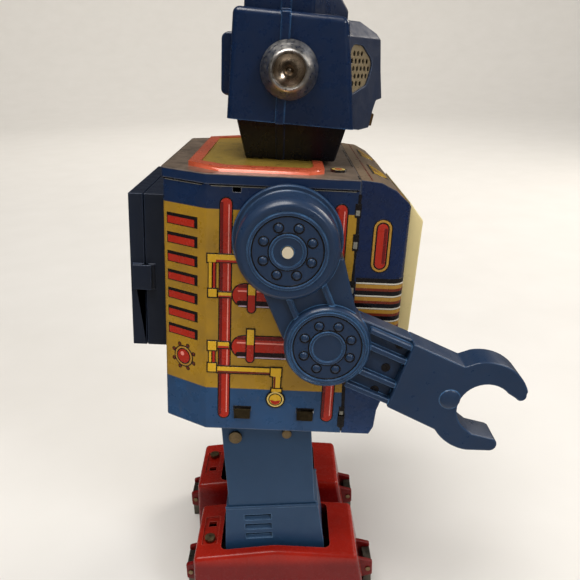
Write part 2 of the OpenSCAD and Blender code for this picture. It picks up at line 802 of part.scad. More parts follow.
// A square run of wire through points written as [across, forward of the rear fold, up].
module wire_run(points) {
  for (i = [0:len(points) - 2]) {
    a = points[i];
    b = points[i + 1];
    low = [min(a[0], b[0]), fold_y - max(a[1], b[1]), min(a[2], b[2])];
    size = [abs(a[0] - b[0]), abs(a[1] - b[1]), abs(a[2] - b[2])];
    translate(low - [wire_r, wire_r, wire_r]) cube(size + [1, 1, 1] * 2 * wire_r);
  }
}

module wires() {
  wire_x = 34;
  wire_f = -13;
  color("red") upper() {
    wire_run([[-16, -10, 23.8], [-16, -10, switch_v], [-16, wire_f, switch_v], [-9.9, wire_f, switch_v]]);
    wire_run([[9.9, wire_f, switch_v], [wire_x, wire_f, switch_v], [wire_x, wire_f, motor_at[1]],
      [wire_x, -0.8, motor_at[1]]]);
    wire_run([[-9.9, wire_f, 10.6], [-wire_x, wire_f, 10.6], [-wire_x, drum_at[0], 10.6],
      [-wire_x, drum_at[0], drum_at[1]], [-22.4, drum_at[0], drum_at[1]]]);
  }
}

// ---- legs ----

// A leg's own frame has its origin on the hip axle; forward is -Y.
module leg_frame(side) {
  translate([0, origin_y, hip_z]) rotate([-side * stride, 0, 0]) children();
}

shell_top = -9;
ridge_z = -54.5;
leg_half = 17.2;
leg_t = 22;

leg_side = [
  [-leg_half, shell_top], [leg_half, shell_top], [leg_half, ridge_z + 1], [leg_half + 1.3, ridge_z],
  [20, -73], [20, -80], [-20, -80], [-20, -73], [-leg_half - 1.3, ridge_z], [-leg_half, ridge_z + 1]
];

module leg_shell() {
  difference() {
    along_x(leg_x - leg_t / 2) linear_extrude(leg_t) polygon(leg_side);
    along_x(leg_x - leg_t / 2 + wall) linear_extrude(leg_t - 2 * wall) polygon(
      [[-leg_half + wall, 0], [leg_half - wall, 0], [leg_half - wall, ridge_z], [20 - wall, -73],
        [20 - wall, -90],
       [-20 + wall, -90], [-20 + wall, -73], [-leg_half + wall, ridge_z]]);
    for (z = [-60, -64.5, -69]) translate([leg_x + leg_t / 2 - 3, 0.6, z - 1.1]) cube([6, 10.8, 2.2]);
    along_x(leg_x) translate([12.1, -22]) cylinder(r = 1.4, h = 30);
    along_x(leg_x) translate([-7.7, -21.5]) cylinder(r = 1.4, h = 30);
    translate([leg_x + leg_t / 2 - 3, -2, shell_top - 4]) cube([6, 8, 9]);
  }
}

// Steel lever inside the leg: hip eye, ring around the crank pin, and the pin that drives the arm.
module leg_lever() {
  eye = 9.5;
  crank_z = crank_at[1] - hip[1];
  along_x(lever_x) difference() {
    linear_extrude(lever_t) difference() {
      union() {
        circle(r = 5);
        translate([-5, -leg_drop]) square([10, leg_drop]);
        translate([-12, -28]) square([27, 12]);
        translate([0, -leg_drop]) circle(r = 5);
        rotate(lean) {
          translate([-4, 0]) square([8, crank_z - 6]);
          translate([0, crank_z]) circle(r = eye);
          polygon([[-9, crank_z + 2], [-10, lever_link[1] - hip[1]], [-3, lever_link[1] - hip[1] + 2.5],
            [3, crank_z + 9]]);
        }
      }
      rotate(lean) translate([0, crank_z]) circle(r = 7);
    }
    translate([0, 0, -1]) cylinder(r = axle_r + run_gap, h = 9);
    translate([0, -leg_drop, -1]) cylinder(r = axle_r + run_gap, h = 9);
  }
  rotate([lean, 0, 0]) along_x(lever_x + lever_t - 0.2)
    translate([hip[0] - lever_link[0], lever_link[1] - hip[1]]) cylinder(r = 1.2, h = 3.6);
}

module leg_fasteners() {
  face = leg_x + leg_t / 2;
  for (p = [[12.1, -22, 2.5], [-7.7, -21.5, 1.8]]) {
    along_x(lever_x + lever_t + 0.05) translate([p[0], p[1]]) cylinder(r = 1.2, h = face - lever_x - lever_t);
    along_x(face + 0.02) translate([p[0], p[1]]) cylinder(r = p[2], h = 1.1);
  }
}

module right_leg_shell() {
  color("slategray") leg_frame(1) mirror([1, 0, 0]) leg_shell();
}

module left_leg_shell() {
  color("slategray") leg_frame(-1) leg_shell();
}

module right_leg_lever() {
  color("silver") leg_frame(1) mirror([1, 0, 0]) leg_lever();
}

module left_leg_lever() {
  color("silver") leg_frame(-1) leg_lever();
}

module right_leg_fasteners() {
  color("tan") leg_frame(1) mirror([1, 0, 0]) leg_fasteners();
}

module left_leg_fasteners() {
  color("tan") leg_frame(-1) leg_fasteners();
}

// ---- feet ----

// A foot's own frame has its origin on the floor under the ankle axle.
module foot_frame(side) {
  translate([0, origin_y - side * ankle_y, 0]) children();
}

top_len = 33.1;
toe_len = 37.1;
heel_len = 34.1;
foot_in = foot_x - foot_w / 2;
foot_out = foot_x + foot_w / 2;
hole_len = 22.4;
lug_z = 11;
roller_y = 21;
roller_r = 6;

function foot_side(inset) = [
  [-toe_len + inset, sole_t], [-top_len + inset, foot_top - inset], [0, foot_peak - inset],
  [top_len - inset, foot_top - inset], [heel_len - inset, sole_t]
];

module lug_pair(y0, y1) {
  for (x = [foot_x - 6.5, foot_x + 4.5])
    along_x(x) difference() {
      linear_extrude(2) polygon([[y0, lug_z - 5.5], [y1, lug_z - 3.4], [y1, lug_z + 3.4], [y0, lug_z + 5.5]]);
      translate([y1 + (y0 > y1 ? 1.9 : -1.9), lug_z, -1]) cylinder(r = 1, h = 4);
    }
}

module foot_shell() {
  difference() {
    union() {
      difference() {
        along_x(foot_in) linear_extrude(foot_w) polygon(foot_side(0));
        along_x(foot_in + wall) linear_extrude(foot_w - 2 * wall)
          polygon(concat([[-toe_len + wall, -1]], foot_side(wall), [[heel_len - wall, -1]]));
        translate([leg_x - 14, -hole_len, 10]) cube([28, 2 * hole_len, 30]);
      }
      for (y = [-roller_y, roller_y], x = [foot_in + 0.5, foot_out - 4.5])
        along_x(x) translate([y, roller_r]) cylinder(r = 3.4, h = 4);
      for (x = [foot_in + 0.5, foot_out - 4.5])
        along_x(x) translate([0, ankle_z]) cylinder(r = 4.4, h = 4);
      lug_pair(-toe_len + 2.5, -toe_len - 3.6);
      lug_pair(heel_len - 1.5, heel_len + 4.4);
    }
    for (y = [-roller_y, roller_y])
      along_x(foot_in + 1.5) translate([y, roller_r]) cylinder(r = 1 + run_gap, h = foot_w - 3);
    along_x(foot_in + 1.5) translate([0, ankle_z]) cylinder(r = axle_r, h = foot_w - 3);
    translate([foot_x + 6, 27.4, foot_top - 4]) cylinder(r = 1.3, h = 9);
    translate([foot_x - 5.5, 25.6, foot_top - 4]) cube([3, 3.4, 9]);
  }
}

// A tongue of the sole plate between a pair of lugs, joined to the plate at y = root.
module tongue(y0, y1, root) {
  low = min(y0, root);
  translate([foot_x - 4, y0, 0]) cube([8, y1 - y0, lug_z + 2.2]);
  translate([foot_x - 4, low, 0]) cube([8, max(y1, root) - low, sole_t - 0.1]);
}

module sole_plate() {
  difference() {
    union() {
      translate([foot_in + 0.2, -toe_len + 0.2, 0]) cube([foot_w - 0.4, toe_len + heel_len - 0.4, sole_t]);
      tongue(-toe_len - 3.4, -toe_len - 0.1, -toe_len + 2);
      tongue(heel_len + 0.1, heel_len + 4.2, heel_len - 2);
    }
    for (y = [-roller_y, roller_y], x = [foot_in + 5.6, foot_out - 12.6])
      translate([x, y - 5.4, -1]) cube([7, 10.8, 4]);
    for (y = [-toe_len - 1.7, heel_len + 2.5])
      along_x(foot_x - 6) translate([y, lug_z]) cylinder(r = 1, h = 12);
  }
}

module foot_fasteners() {
  for (y = [-toe_len - 1.7, heel_len + 2.5])
    along_x(foot_x - 7) translate([y, lug_z]) cylinder(r = 1, h = 14);
  translate([foot_x + 6, 27.4, foot_top - 3]) cylinder(r = 1.2, h = 4);
  translate([foot_x + 6, 27.4, foot_top + 0.8]) cylinder(r = 2.2, h = 1);
}

module roller_set(y) {
  translate([0, y, roller_r]) {
    along_x(foot_in + 1.6) cylinder(r = 1, h = foot_w - 3.2);
    for (x = [foot_in + 6.1, foot_out - 12.1]) along_x(x) cylinder(r = roller_r, h = 6);
  }
}

module right_foot_shell() {
  color("firebrick") foot_frame(1) mirror([1, 0, 0]) foot_shell();
}

module left_foot_shell() {
  color("firebrick") foot_frame(-1) foot_shell();
}

module right_sole_plate() {
  color("dimgray") foot_frame(1) mirror([1, 0, 0]) sole_plate();
}

module left_sole_plate() {
  color("dimgray") foot_frame(-1) sole_plate();
}

module right_foot_fasteners() {
  color("silver") foot_frame(1) mirror([1, 0, 0]) foot_fasteners();
}

module left_foot_fasteners() {
  color("silver") foot_frame(-1) foot_fasteners();
}

module ankle_axle(side) {
  foot_frame(side) along_x(side > 0 ? -foot_out + 1.6 : foot_in + 1.6) translate([0, ankle_z])
    cylinder(r = axle_r, h = foot_w - 3.2);
}

module ankle_axle_right() {
  color("gray") ankle_axle(1);
}

module ankle_axle_left() {
  color("gray") ankle_axle(-1);
}

module right_toe_rollers() {
  color("black") foot_frame(1) mirror([1, 0, 0]) roller_set(-roller_y);
}

module right_heel_rollers() {
  color("black") foot_frame(1) mirror([1, 0, 0]) roller_set(roller_y);
}

module left_toe_rollers() {
  color("black") foot_frame(-1) roller_set(-roller_y);
}

module left_heel_rollers() {
  color("black") foot_frame(-1) roller_set(roller_y);
}

// ---- what is drawn ----

torso_body();
front_fascia();
top_plate();
base_plate();
chassis_plate();
screen_bezel();
screen_window();
head_front_shell();
head_rear_shell();
face_grilles();
mouth_bar();
ear_cones();
ear_reflectors();
shoulder_rod();
right_arm();
left_arm();
right_arm_lever();
left_arm_lever();
battery_box();
battery_lid();
lid_hinge_pin();
battery_cells();
battery_contacts();
switch_frame();
switch_slider();
bulb();
bulb_holder();
wires();
motor_case();
motor_pinion();
first_gear();
second_gear();
crank_gear();
drum_drive_gear();
crankshaft();
drum_idler_gear();
drum_gear();
picture_drum();
gear_axles();
gearbox_plates();
hip_axle();
drum_brackets();
right_leg_shell();
left_leg_shell();
right_leg_lever();
left_leg_lever();
right_leg_fasteners();
left_leg_fasteners();
right_foot_shell();
left_foot_shell();
right_sole_plate();
left_sole_plate();
right_foot_fasteners();
left_foot_fasteners();
ankle_axle_right();
ankle_axle_left();
right_toe_rollers();
right_heel_rollers();
left_toe_rollers();
left_heel_rollers();
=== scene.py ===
"""Looks of a battery-powered tin walking robot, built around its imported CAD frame.

Pieces of the upper body are drawn in the torso's own leaning frame, in millimetres: x across (the
robot's right side is at -x), y = -f with f forward of the torso's rear fold, z = v up from the
torso's bottom. Pieces below the hips are drawn in the floor frame, in millimetres.
"""
import json
import math
import random

import bmesh
import bpy
from mathutils import Matrix, Vector

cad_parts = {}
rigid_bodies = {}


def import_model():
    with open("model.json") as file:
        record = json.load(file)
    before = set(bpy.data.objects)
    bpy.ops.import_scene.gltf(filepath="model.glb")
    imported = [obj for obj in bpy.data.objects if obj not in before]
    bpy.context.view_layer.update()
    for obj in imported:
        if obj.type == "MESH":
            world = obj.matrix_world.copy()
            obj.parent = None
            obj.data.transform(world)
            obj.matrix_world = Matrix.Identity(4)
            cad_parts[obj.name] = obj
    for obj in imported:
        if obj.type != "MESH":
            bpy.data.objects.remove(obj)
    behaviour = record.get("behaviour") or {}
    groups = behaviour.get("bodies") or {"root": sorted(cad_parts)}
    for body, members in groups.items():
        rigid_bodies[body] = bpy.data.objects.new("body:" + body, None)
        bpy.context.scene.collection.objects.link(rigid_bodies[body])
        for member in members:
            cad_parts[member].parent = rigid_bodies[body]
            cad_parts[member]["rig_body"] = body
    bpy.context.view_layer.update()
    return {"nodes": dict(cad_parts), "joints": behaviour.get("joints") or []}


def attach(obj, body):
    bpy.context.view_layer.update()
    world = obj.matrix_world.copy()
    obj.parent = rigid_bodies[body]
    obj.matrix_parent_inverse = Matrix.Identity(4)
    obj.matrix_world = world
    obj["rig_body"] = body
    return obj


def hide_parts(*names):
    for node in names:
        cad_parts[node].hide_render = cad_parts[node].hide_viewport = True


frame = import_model()

# ---- frames ----

MM = 0.001
JOINTS = {j["name"]: j for j in frame["joints"]}
HIP = Vector(JOINTS["right_leg_swing"]["pos_m"])
LEAN = math.asin(JOINTS["battery_lid_hinge"]["axis"][1])
HIP_F, HIP_V = 20.0, 12.0
FLOOR = Matrix.Scale(MM, 4)
UPPER = (
    Matrix.Translation(HIP) @ Matrix.Rotation(LEAN, 4, "X") @ FLOOR @ Matrix.Translation((0, HIP_F, -HIP_V))
)
TORSO = (UPPER, "torso")

# ---- torso sizes, in its own frame ----

HALF = 46.0
BACK_F, BACK_HALF = -15.4, 37.0
CORNER_F, CORNER_R = 65.7, 5.0
FRONT_F, FRONT_HALF = 68.0, 29.0
TORSO_H = 92.0
BLUE_ABOVE, BLUE_BELOW = 80.7, 16.4
SHOULDER = (26.5, 72.0)
ELBOW = (40.6, 40.6)

# ---- node helpers for materials ----


def linear(c):
    return tuple(x / 12.92 if x <= 0.04045 else ((x + 0.055) / 1.055) ** 2.4 for x in c)


def rgb(r, g, b):
    """A colour written as 0-255 values, in the scene's linear space."""
    return (*linear((r / 255, g / 255, b / 255)), 1.0)


def scaled(c, k):
    return tuple(min(1.0, x * k) for x in c[:3]) + (1.0,)


class Nodes:
    """Short calls for building one material's node tree."""

    def __init__(self, name, unit):
        self.mat = bpy.data.materials.new(name)
        self.mat.use_nodes = True
        self.tree = self.mat.node_tree
        self.bsdf = self.tree.nodes["Principled BSDF"]
        coord = self.add("ShaderNodeTexCoord")
        self.mm = self.add("ShaderNodeVectorMath", operation="SCALE")
        self.link(coord.outputs["Object"], self.mm.inputs[0])
        self.mm.inputs["Scale"].default_value = unit
        self.place = self.mm.outputs[0]

    def add(self, kind, **settings):
        node = self.tree.nodes.new(kind)
        for key, value in settings.items():
            setattr(node, key, value)
        return node

    def link(self, a, b):
        self.tree.links.new(a, b)

    def put(self, socket, value):
        if isinstance(value, bpy.types.NodeSocket):
            self.link(value, socket)
        else:
            socket.default_value = value

    def noise(self, size, detail=3.0, rough=0.55, stretch=(1, 1, 1), shift=0.0):
        """Noise whose features are about size millimetres across."""
        mapping = self.add("ShaderNodeMapping")
        self.link(self.place, mapping.inputs["Vector"])
        mapping.inputs["Scale"].default_value = [s / size for s in stretch]
        mapping.inputs["Location"].default_value = (shift, shift * 0.7, -shift)
        n = self.add("ShaderNodeTexNoise")
        self.link(mapping.outputs[0], n.inputs["Vector"])
        n.inputs["Scale"].default_value = 1.0
        n.inputs["Detail"].default_value = detail
        n.inputs["Roughness"].default_value = rough
        return n.outputs["Fac"]

    def ramp(self, value, lo, hi, out_lo=0.0, out_hi=1.0):
        r = self.add("ShaderNodeMapRange", interpolation_type="SMOOTHSTEP")
        self.put(r.inputs["Value"], value)
        for key, x in zip(("From Min", "From Max", "To Min", "To Max"), (lo, hi, out_lo, out_hi)):
            r.inputs[key].default_value = x
        return r.outputs["Result"]

    def math(self, op, a, b=0.0):
        m = self.add("ShaderNodeMath", operation=op)
        self.put(m.inputs[0], a)
        self.put(m.inputs[1], b)
        return m.outputs[0]

    def mix(self, share, a, b):
        m = self.add("ShaderNodeMix", data_type="RGBA")
        self.put(m.inputs["Factor"], share)
        self.put(m.inputs["A"], a)
        self.put(m.inputs["B"], b)
        return m.outputs["Result"]

    def axis(self, name):
        s = self.add("ShaderNodeSeparateXYZ")
        self.link(self.place, s.inputs[0])
        return s.outputs[name]

    def edge(self, radius_mm):
        """High where the surface turns within radius_mm, so along edges and rims."""
        soft = self.add("ShaderNodeBevel", samples=4)
        soft.inputs["Radius"].default_value = radius_mm * MM
        geo = self.add("ShaderNodeNewGeometry")
        dot = self.add("ShaderNodeVectorMath", operation="DOT_PRODUCT")
        self.link(soft.outputs[0], dot.inputs[0])
        self.link(geo.outputs["Normal"], dot.inputs[1])
        return self.ramp(self.math("SUBTRACT", 1.0, dot.outputs["Value"]), 0.01, 0.2)

    def crevice(self, distance_mm):
        # Painted shade: an ambient occlusion mask, high in crevices and corners where shade falls.
        ao = self.add("ShaderNodeAmbientOcclusion", samples=3)
        ao.inputs["Distance"].default_value = distance_mm * MM
        return self.ramp(ao.outputs["AO"], 0.35, 0.9, 1.0, 0.0)

    def bump(self, height, depth_mm, rounding_mm=0.25):
        soft = self.add("ShaderNodeBevel", samples=3)
        soft.inputs["Radius"].default_value = rounding_mm * MM
        b = self.add("ShaderNodeBump")
        self.put(b.inputs["Height"], height)
        b.inputs["Strength"].default_value = 1.0
        b.inputs["Distance"].default_value = depth_mm * MM
        self.link(soft.outputs[0], b.inputs["Normal"])
        self.link(b.outputs[0], self.bsdf.inputs["Normal"])

    def set(self, **values):
        for key, value in values.items():
            self.put(self.bsdf.inputs[key.replace("_", " ")], value)


# ---- materials ----


def plastic(name, base, light, rough=0.38, coat=0.15, vary=0.12, corner_shade=0.35, unit=1.0, shine=0.4):
    """Moulded plastic: slow colour drift, pale edges that are partly wear and partly painted highlight,
    painted shade in its corners, fine moulding marks.
    """
    n = Nodes(name, unit)
    drift = n.mix(n.noise(26, 2), scaled(base, 1 - vary), scaled(base, 1 + vary))
    specks = n.ramp(n.noise(2.2, 4, 0.7, shift=3), 0.56, 0.74, 0.0, 0.22)
    body = n.mix(specks, drift, scaled(base, 0.55))
    # Painted highlight, partly wear: edges turn pale towards the light colour, in patches.
    worn = n.math("MULTIPLY", n.edge(0.6), n.ramp(n.noise(7, 3, shift=9), 0.3, 0.62, 0.4, 0.95))
    edged = n.mix(worn, body, light)
    # Painted shade: darker in crevices and corners, from ambient occlusion, in patches.
    crevice_shade = n.math("MULTIPLY", n.crevice(3.5), n.ramp(n.noise(5, 4, shift=5), 0.3, 0.7, corner_shade * 0.5, corner_shade))
    n.set(Base_Color=n.mix(crevice_shade, edged, scaled(base, 0.12)))
    n.set(Roughness=n.ramp(n.noise(4, 5, 0.65, shift=1), 0.25, 0.8, rough * 0.75, rough * 1.35))
    n.set(Coat_Weight=coat, Coat_Roughness=0.18, Specular_IOR_Level=shine)
    n.bump(n.noise(0.9, 5, 0.7), 0.05)
    return n.mat


def boot_plastic(name, deck, shaded_wall_red, light):
    """The boot's red: its sides a darker red than its deck as painted shade, pale edges that are partly wear
    and partly painted highlight, and painted shade in its corners.
    """
    n = Nodes(name, 1.0)
    # Painted shade: below the deck the boot takes the darker red.
    base = n.mix(n.ramp(n.axis("Z"), 22.0, 27.0), shaded_wall_red, deck)
    shaded = n.mix(n.ramp(n.noise(26, 2), 0.3, 0.7, 0.0, 0.3), base, scaled(shaded_wall_red, 0.5))
    # Painted highlight, partly wear: pale edges in patches.
    worn = n.math("MULTIPLY", n.edge(0.6), n.ramp(n.noise(7, 3, shift=9), 0.3, 0.62, 0.4, 0.95))
    edged = n.mix(worn, shaded, light)
    # Painted shade: darker in crevices and corners, from ambient occlusion, in patches.
    crevice_shade = n.math("MULTIPLY", n.crevice(3.5), n.ramp(n.noise(5, 4, shift=5), 0.3, 0.7, 0.2, 0.4))
    n.set(Base_Color=n.mix(crevice_shade, edged, scaled(shaded_wall_red, 0.15)), Specular_IOR_Level=0.22)
    n.set(Roughness=n.ramp(n.noise(4, 5, 0.65, shift=1), 0.25, 0.8, 0.2, 0.35))
    n.set(Coat_Weight=0.12, Coat_Roughness=0.18)
    n.bump(n.noise(0.9, 5, 0.7), 0.05)
    return n.mat


def tin_print(name, base, light=None, rough=0.3, unit=1.0, metal=0.15, wear=0.5):
    """Lithographed tin of one colour: varnish over ink, fine scratches down to paler metal."""
    n = Nodes(name, unit)
    drift = n.mix(n.noise(18, 3), scaled(base, 0.86), scaled(base, 1.12))
    scratch = n.ramp(n.noise(1.6, 6, 0.75, (1, 0.25, 3.2), 4), 0.66, 0.74, 0.0, wear)
    tarnish = n.ramp(n.noise(6, 5, 0.7, shift=7), 0.56, 0.78, 0.0, 0.35)
    body = n.mix(tarnish, drift, scaled(base, 0.45))
    n.set(Base_Color=n.mix(scratch, body, light or scaled(base, 1.9)))
    n.set(Metallic=metal, Coat_Weight=0.6, Coat_Roughness=0.12)
    n.set(Roughness=n.ramp(n.noise(3, 4, shift=2), 0.2, 0.8, rough * 0.7, rough * 1.4))
    n.bump(n.noise(9, 2), 0.12)
    return n.mat


def torso_tin(name, blue_top, gold, blue_low):
    """The wrap's ground colours: blue, then mustard, then a lighter blue towards the bottom."""
    n = Nodes(name, 1.0)
    v = n.axis("Z")
    top = n.mix(n.ramp(v, BLUE_ABOVE - 0.15, BLUE_ABOVE + 0.15), gold, blue_top)
    ground = n.mix(n.ramp(v, BLUE_BELOW - 0.15, BLUE_BELOW + 0.15), blue_low, top)
    shade = n.mix(n.ramp(n.noise(14, 4, 0.6), 0.3, 0.75, 0.0, 0.3), ground, (0.02, 0.02, 0.03, 1.0))
    tarnish = n.ramp(n.noise(3.2, 6, 0.72, (1, 1, 0.6), 6), 0.6, 0.74, 0.0, 0.4)
    worn = n.mix(tarnish, shade, rgb(96, 84, 58))
    scratch = n.ramp(n.noise(1.1, 6, 0.8, (1, 0.3, 2.4), 3), 0.7, 0.76, 0.0, 0.5)
    scored = n.mix(scratch, worn, rgb(190, 180, 150))
    # Edges turn paler: partly wear, partly painted highlight.
    edge_wear_and_highlight = n.mix(n.math("MULTIPLY", n.edge(0.6), 0.55), scored, rgb(150, 150, 150))
    n.set(Base_Color=edge_wear_and_highlight, Metallic=0.15, Coat_Weight=0.7, Coat_Roughness=0.1)
    n.set(Roughness=n.ramp(n.noise(5, 4, shift=2), 0.2, 0.8, 0.2, 0.42))
    n.bump(n.noise(11, 2), 0.2)
    return n.mat


def fascia_tin(name, blue, blue_low):
    """The fascia: dark blue print, lighter below the stripes, scratched down to paler metal."""
    n = Nodes(name, 1.0)
    ground = n.mix(n.ramp(n.axis("Z"), 28.0, 36.0), blue_low, blue)
    drift = n.mix(n.ramp(n.noise(14, 4, 0.6), 0.3, 0.75, 0.0, 0.35), ground, (0.01, 0.015, 0.03, 1.0))
    scratch = n.ramp(n.noise(1.6, 6, 0.75, (1, 0.25, 3.2), 4), 0.66, 0.74, 0.0, 0.35)
    scored = n.mix(scratch, drift, rgb(80, 110, 160))
    # Edges turn paler: partly wear, partly painted highlight.
    edge_wear_and_highlight = n.mix(n.math("MULTIPLY", n.edge(0.5), 0.5), scored, rgb(120, 136, 160))
    n.set(Base_Color=edge_wear_and_highlight, Metallic=0.15, Coat_Weight=0.7, Coat_Roughness=0.1)
    n.set(Roughness=n.ramp(n.noise(3, 4, shift=2), 0.2, 0.8, 0.18, 0.36))
    n.bump(n.noise(9, 2), 0.12)
    return n.mat


def lid_tin(name, ground, blue, rim_v):
    """The lid: worn grey-brown print on top, blue down its rim."""
    n = Nodes(name, 1.0)
    patchy = n.mix(n.ramp(n.noise(7, 6, 0.7), 0.3, 0.72), scaled(ground, 0.62), scaled(ground, 1.35))
    rust = n.mix(n.ramp(n.noise(2.2, 5, 0.7, shift=4), 0.6, 0.78, 0.0, 0.55), patchy, rgb(70, 52, 40))
    banded = n.mix(n.ramp(n.axis("Z"), rim_v - 0.2, rim_v + 0.1), blue, rust)
    # Edges turn paler: partly wear, partly painted highlight.
    edge_wear_and_highlight = n.mix(n.math("MULTIPLY", n.edge(0.5), 0.6), banded, rgb(150, 152, 158))
    n.set(Base_Color=edge_wear_and_highlight, Metallic=0.25, Coat_Weight=0.5, Coat_Roughness=0.15)
    n.set(Roughness=n.ramp(n.noise(4, 4, shift=2), 0.2, 0.8, 0.28, 0.5))
    n.bump(n.noise(2.5, 4), 0.12)
    return n.mat


def hatched_gold(name, base):
    """The lid's panel: gold print over fine embossed hatching."""
    n = Nodes(name, 1.0)
    wave = n.add("ShaderNodeTexWave", wave_type="BANDS", bands_direction="DIAGONAL")
    n.link(n.place, wave.inputs["Vector"])
    wave.inputs["Scale"].default_value = 0.55
    wave.inputs["Distortion"].default_value = 1.2
    lines = n.mix(n.ramp(wave.outputs["Fac"], 0.2, 0.8), scaled(base, 0.45), scaled(base, 1.25))
    stained = n.mix(n.ramp(n.noise(6, 5, 0.7), 0.5, 0.75, 0.0, 0.6), lines, rgb(74, 62, 30))
    n.set(Base_Color=stained, Metallic=0.55, Roughness=0.3, Coat_Weight=0.4, Coat_Roughness=0.15)
    n.bump(n.math("ADD", wave.outputs["Fac"], n.noise(1.4, 3)), 0.18)
    return n.mat


def metal(name, base, rough=0.3, dark=0.5, spots=0.4, unit=1000.0):
    """Bare or plated metal with tarnish spots, painted shade in its crevices, and brushed roughness."""
    n = Nodes(name, unit)
    cloud = n.mix(n.ramp(n.noise(5, 5, 0.7), 0.3, 0.7), scaled(base, dark), base)
    spot = n.ramp(n.noise(1.3, 5, 0.75, shift=4), 0.58, 0.7, 0.0, spots)
    # Painted shade: darker in crevices and corners, from ambient occlusion.
    corner_shade = n.math("MULTIPLY", n.crevice(2.5), 0.6)
    n.set(Base_Color=n.mix(corner_shade, n.mix(spot, cloud, rgb(52, 42, 34)), rgb(22, 18, 15)))
    n.set(Metallic=1.0, Roughness=n.ramp(n.noise(1.6, 5, 0.7, shift=2), 0.25, 0.8, rough * 0.6, rough * 1.8))
    n.bump(n.noise(0.8, 4, 0.7), 0.04)
    return n.mat


def clear(name, tint, rough=0.05):
    n = Nodes(name, 1000.0)
    haze = n.ramp(n.noise(8, 4), 0.4, 0.8, rough, rough + 0.12)
    n.set(Base_Color=tint, Roughness=haze, Transmission_Weight=0.9, IOR=1.46)
    return n.mat


BLUE_DARK = rgb(9, 40, 80)
BLUE_LIGHT = rgb(36, 76, 120)
GOLD = rgb(176, 134, 26)

LOOKS = {
    "torso": torso_tin("torso_litho", BLUE_DARK, GOLD, BLUE_LIGHT),
    "fascia": fascia_tin("fascia_litho", rgb(10, 34, 76), rgb(28, 62, 112)),
    "lid": lid_tin("lid_litho", rgb(122, 106, 92), rgb(12, 42, 82), TORSO_H - 0.25),
    "panel": hatched_gold("panel_litho", rgb(222, 186, 84)),
    "roof": tin_print("roof_litho", rgb(138, 116, 92), rgb(176, 160, 136), rough=0.32, wear=0.5),
    "frame": tin_print("frame_litho", rgb(206, 92, 60), rgb(226, 150, 110), wear=0.6),
    # In each plastic below, the second colour is its pale edge colour: partly wear, partly painted highlight.
    "head": plastic("head_plastic", rgb(10, 32, 64), rgb(64, 112, 166), rough=0.3, coat=0.35, corner_shade=0.3),
    # Painted shade: the neck is the head's navy plastic, painted near black for the shade under the head.
    "neck": plastic(
        "neck_shaded_plastic", rgb(6, 9, 18), rgb(26, 44, 76), rough=0.3, coat=0.0, corner_shade=0.3, shine=0.2
    ),
    # Painted light: the face is the head's navy moulding, painted a paler grey-blue for the light on its
    # front.
    "face": plastic(
        "face_lit_plastic", rgb(34, 44, 66), rgb(96, 112, 140), rough=0.45, coat=0.0, corner_shade=0.35, shine=0.25
    ),
    "arm": plastic("arm_plastic", rgb(30, 50, 78), rgb(86, 136, 188), rough=0.34, coat=0.25),
    "box": plastic("box_plastic", rgb(20, 30, 48), rgb(66, 88, 124), rough=0.48, coat=0.05),
    "ivory": plastic(
        "ivory_plastic", rgb(226, 208, 150), rgb(240, 236, 205), rough=0.36, vary=0.05, corner_shade=0.5
    ),
    "leg": plastic("leg_plastic", rgb(34, 64, 96), rgb(104, 140, 178), rough=0.42, coat=0.08, shine=0.3),
    # The boot's deck red, its sides' red darkened as painted shade, and its pale edge colour, partly painted
    # highlight.
    "foot": boot_plastic("foot_plastic", rgb(160, 30, 16), rgb(112, 12, 12), rgb(206, 84, 70)),
    "chrome": metal("worn_chrome", rgb(236, 232, 226), rough=0.34, dark=0.5, spots=0.6, unit=1.0),
    "reflector": metal("reflector_chrome", rgb(220, 200, 176), rough=0.16, dark=0.5, spots=0.5, unit=1.0),
    "grille": tin_print("grille_tin", rgb(132, 118, 92), rgb(180, 168, 138), wear=0.3),
    "mouth": tin_print("mouth_foil", rgb(120, 92, 48), rgb(190, 160, 100), metal=0.6),
    "bright_tin": metal("bright_tin", rgb(178, 178, 172), rough=0.28, dark=0.7),
    "steel_m": metal("steel", rgb(170, 168, 162), rough=0.3, dark=0.7),
    "brass": metal("brass", rgb(196, 160, 92), rough=0.32),
    "screw": metal("screw_brass", rgb(170, 148, 112), rough=0.4, dark=0.45, spots=0.8),
    "nylon": plastic(
        "gear_nylon", rgb(226, 222, 206), rgb(240, 238, 228), rough=0.5, unit=1000.0, corner_shade=0.5
    ),
    "film": plastic("drum_film", rgb(214, 196, 150), rgb(236, 226, 190), rough=0.35, unit=1000.0),
    "rubber": plastic(
        "roller_rubber", rgb(26, 25, 25), rgb(60, 58, 56), rough=0.75, coat=0.0, unit=1000.0
    ),
    "wire": plastic("wire_sleeve", rgb(150, 28, 24), rgb(190, 80, 70), rough=0.5, unit=1000.0),
    "cell": tin_print("cell_jacket", rgb(146, 34, 28), rgb(210, 190, 150), unit=1000.0),
    "slider": plastic("slider_plastic", rgb(150, 36, 28), rgb(210, 110, 100), rough=0.35, unit=1000.0),
    "blue_tin": tin_print("blue_tin", rgb(36, 62, 108), rgb(120, 140, 170), unit=1000.0),
    "clear": clear("clear_plastic", rgb(214, 222, 224)),
    "bulb": clear("bulb_glass", rgb(244, 238, 220)),
}

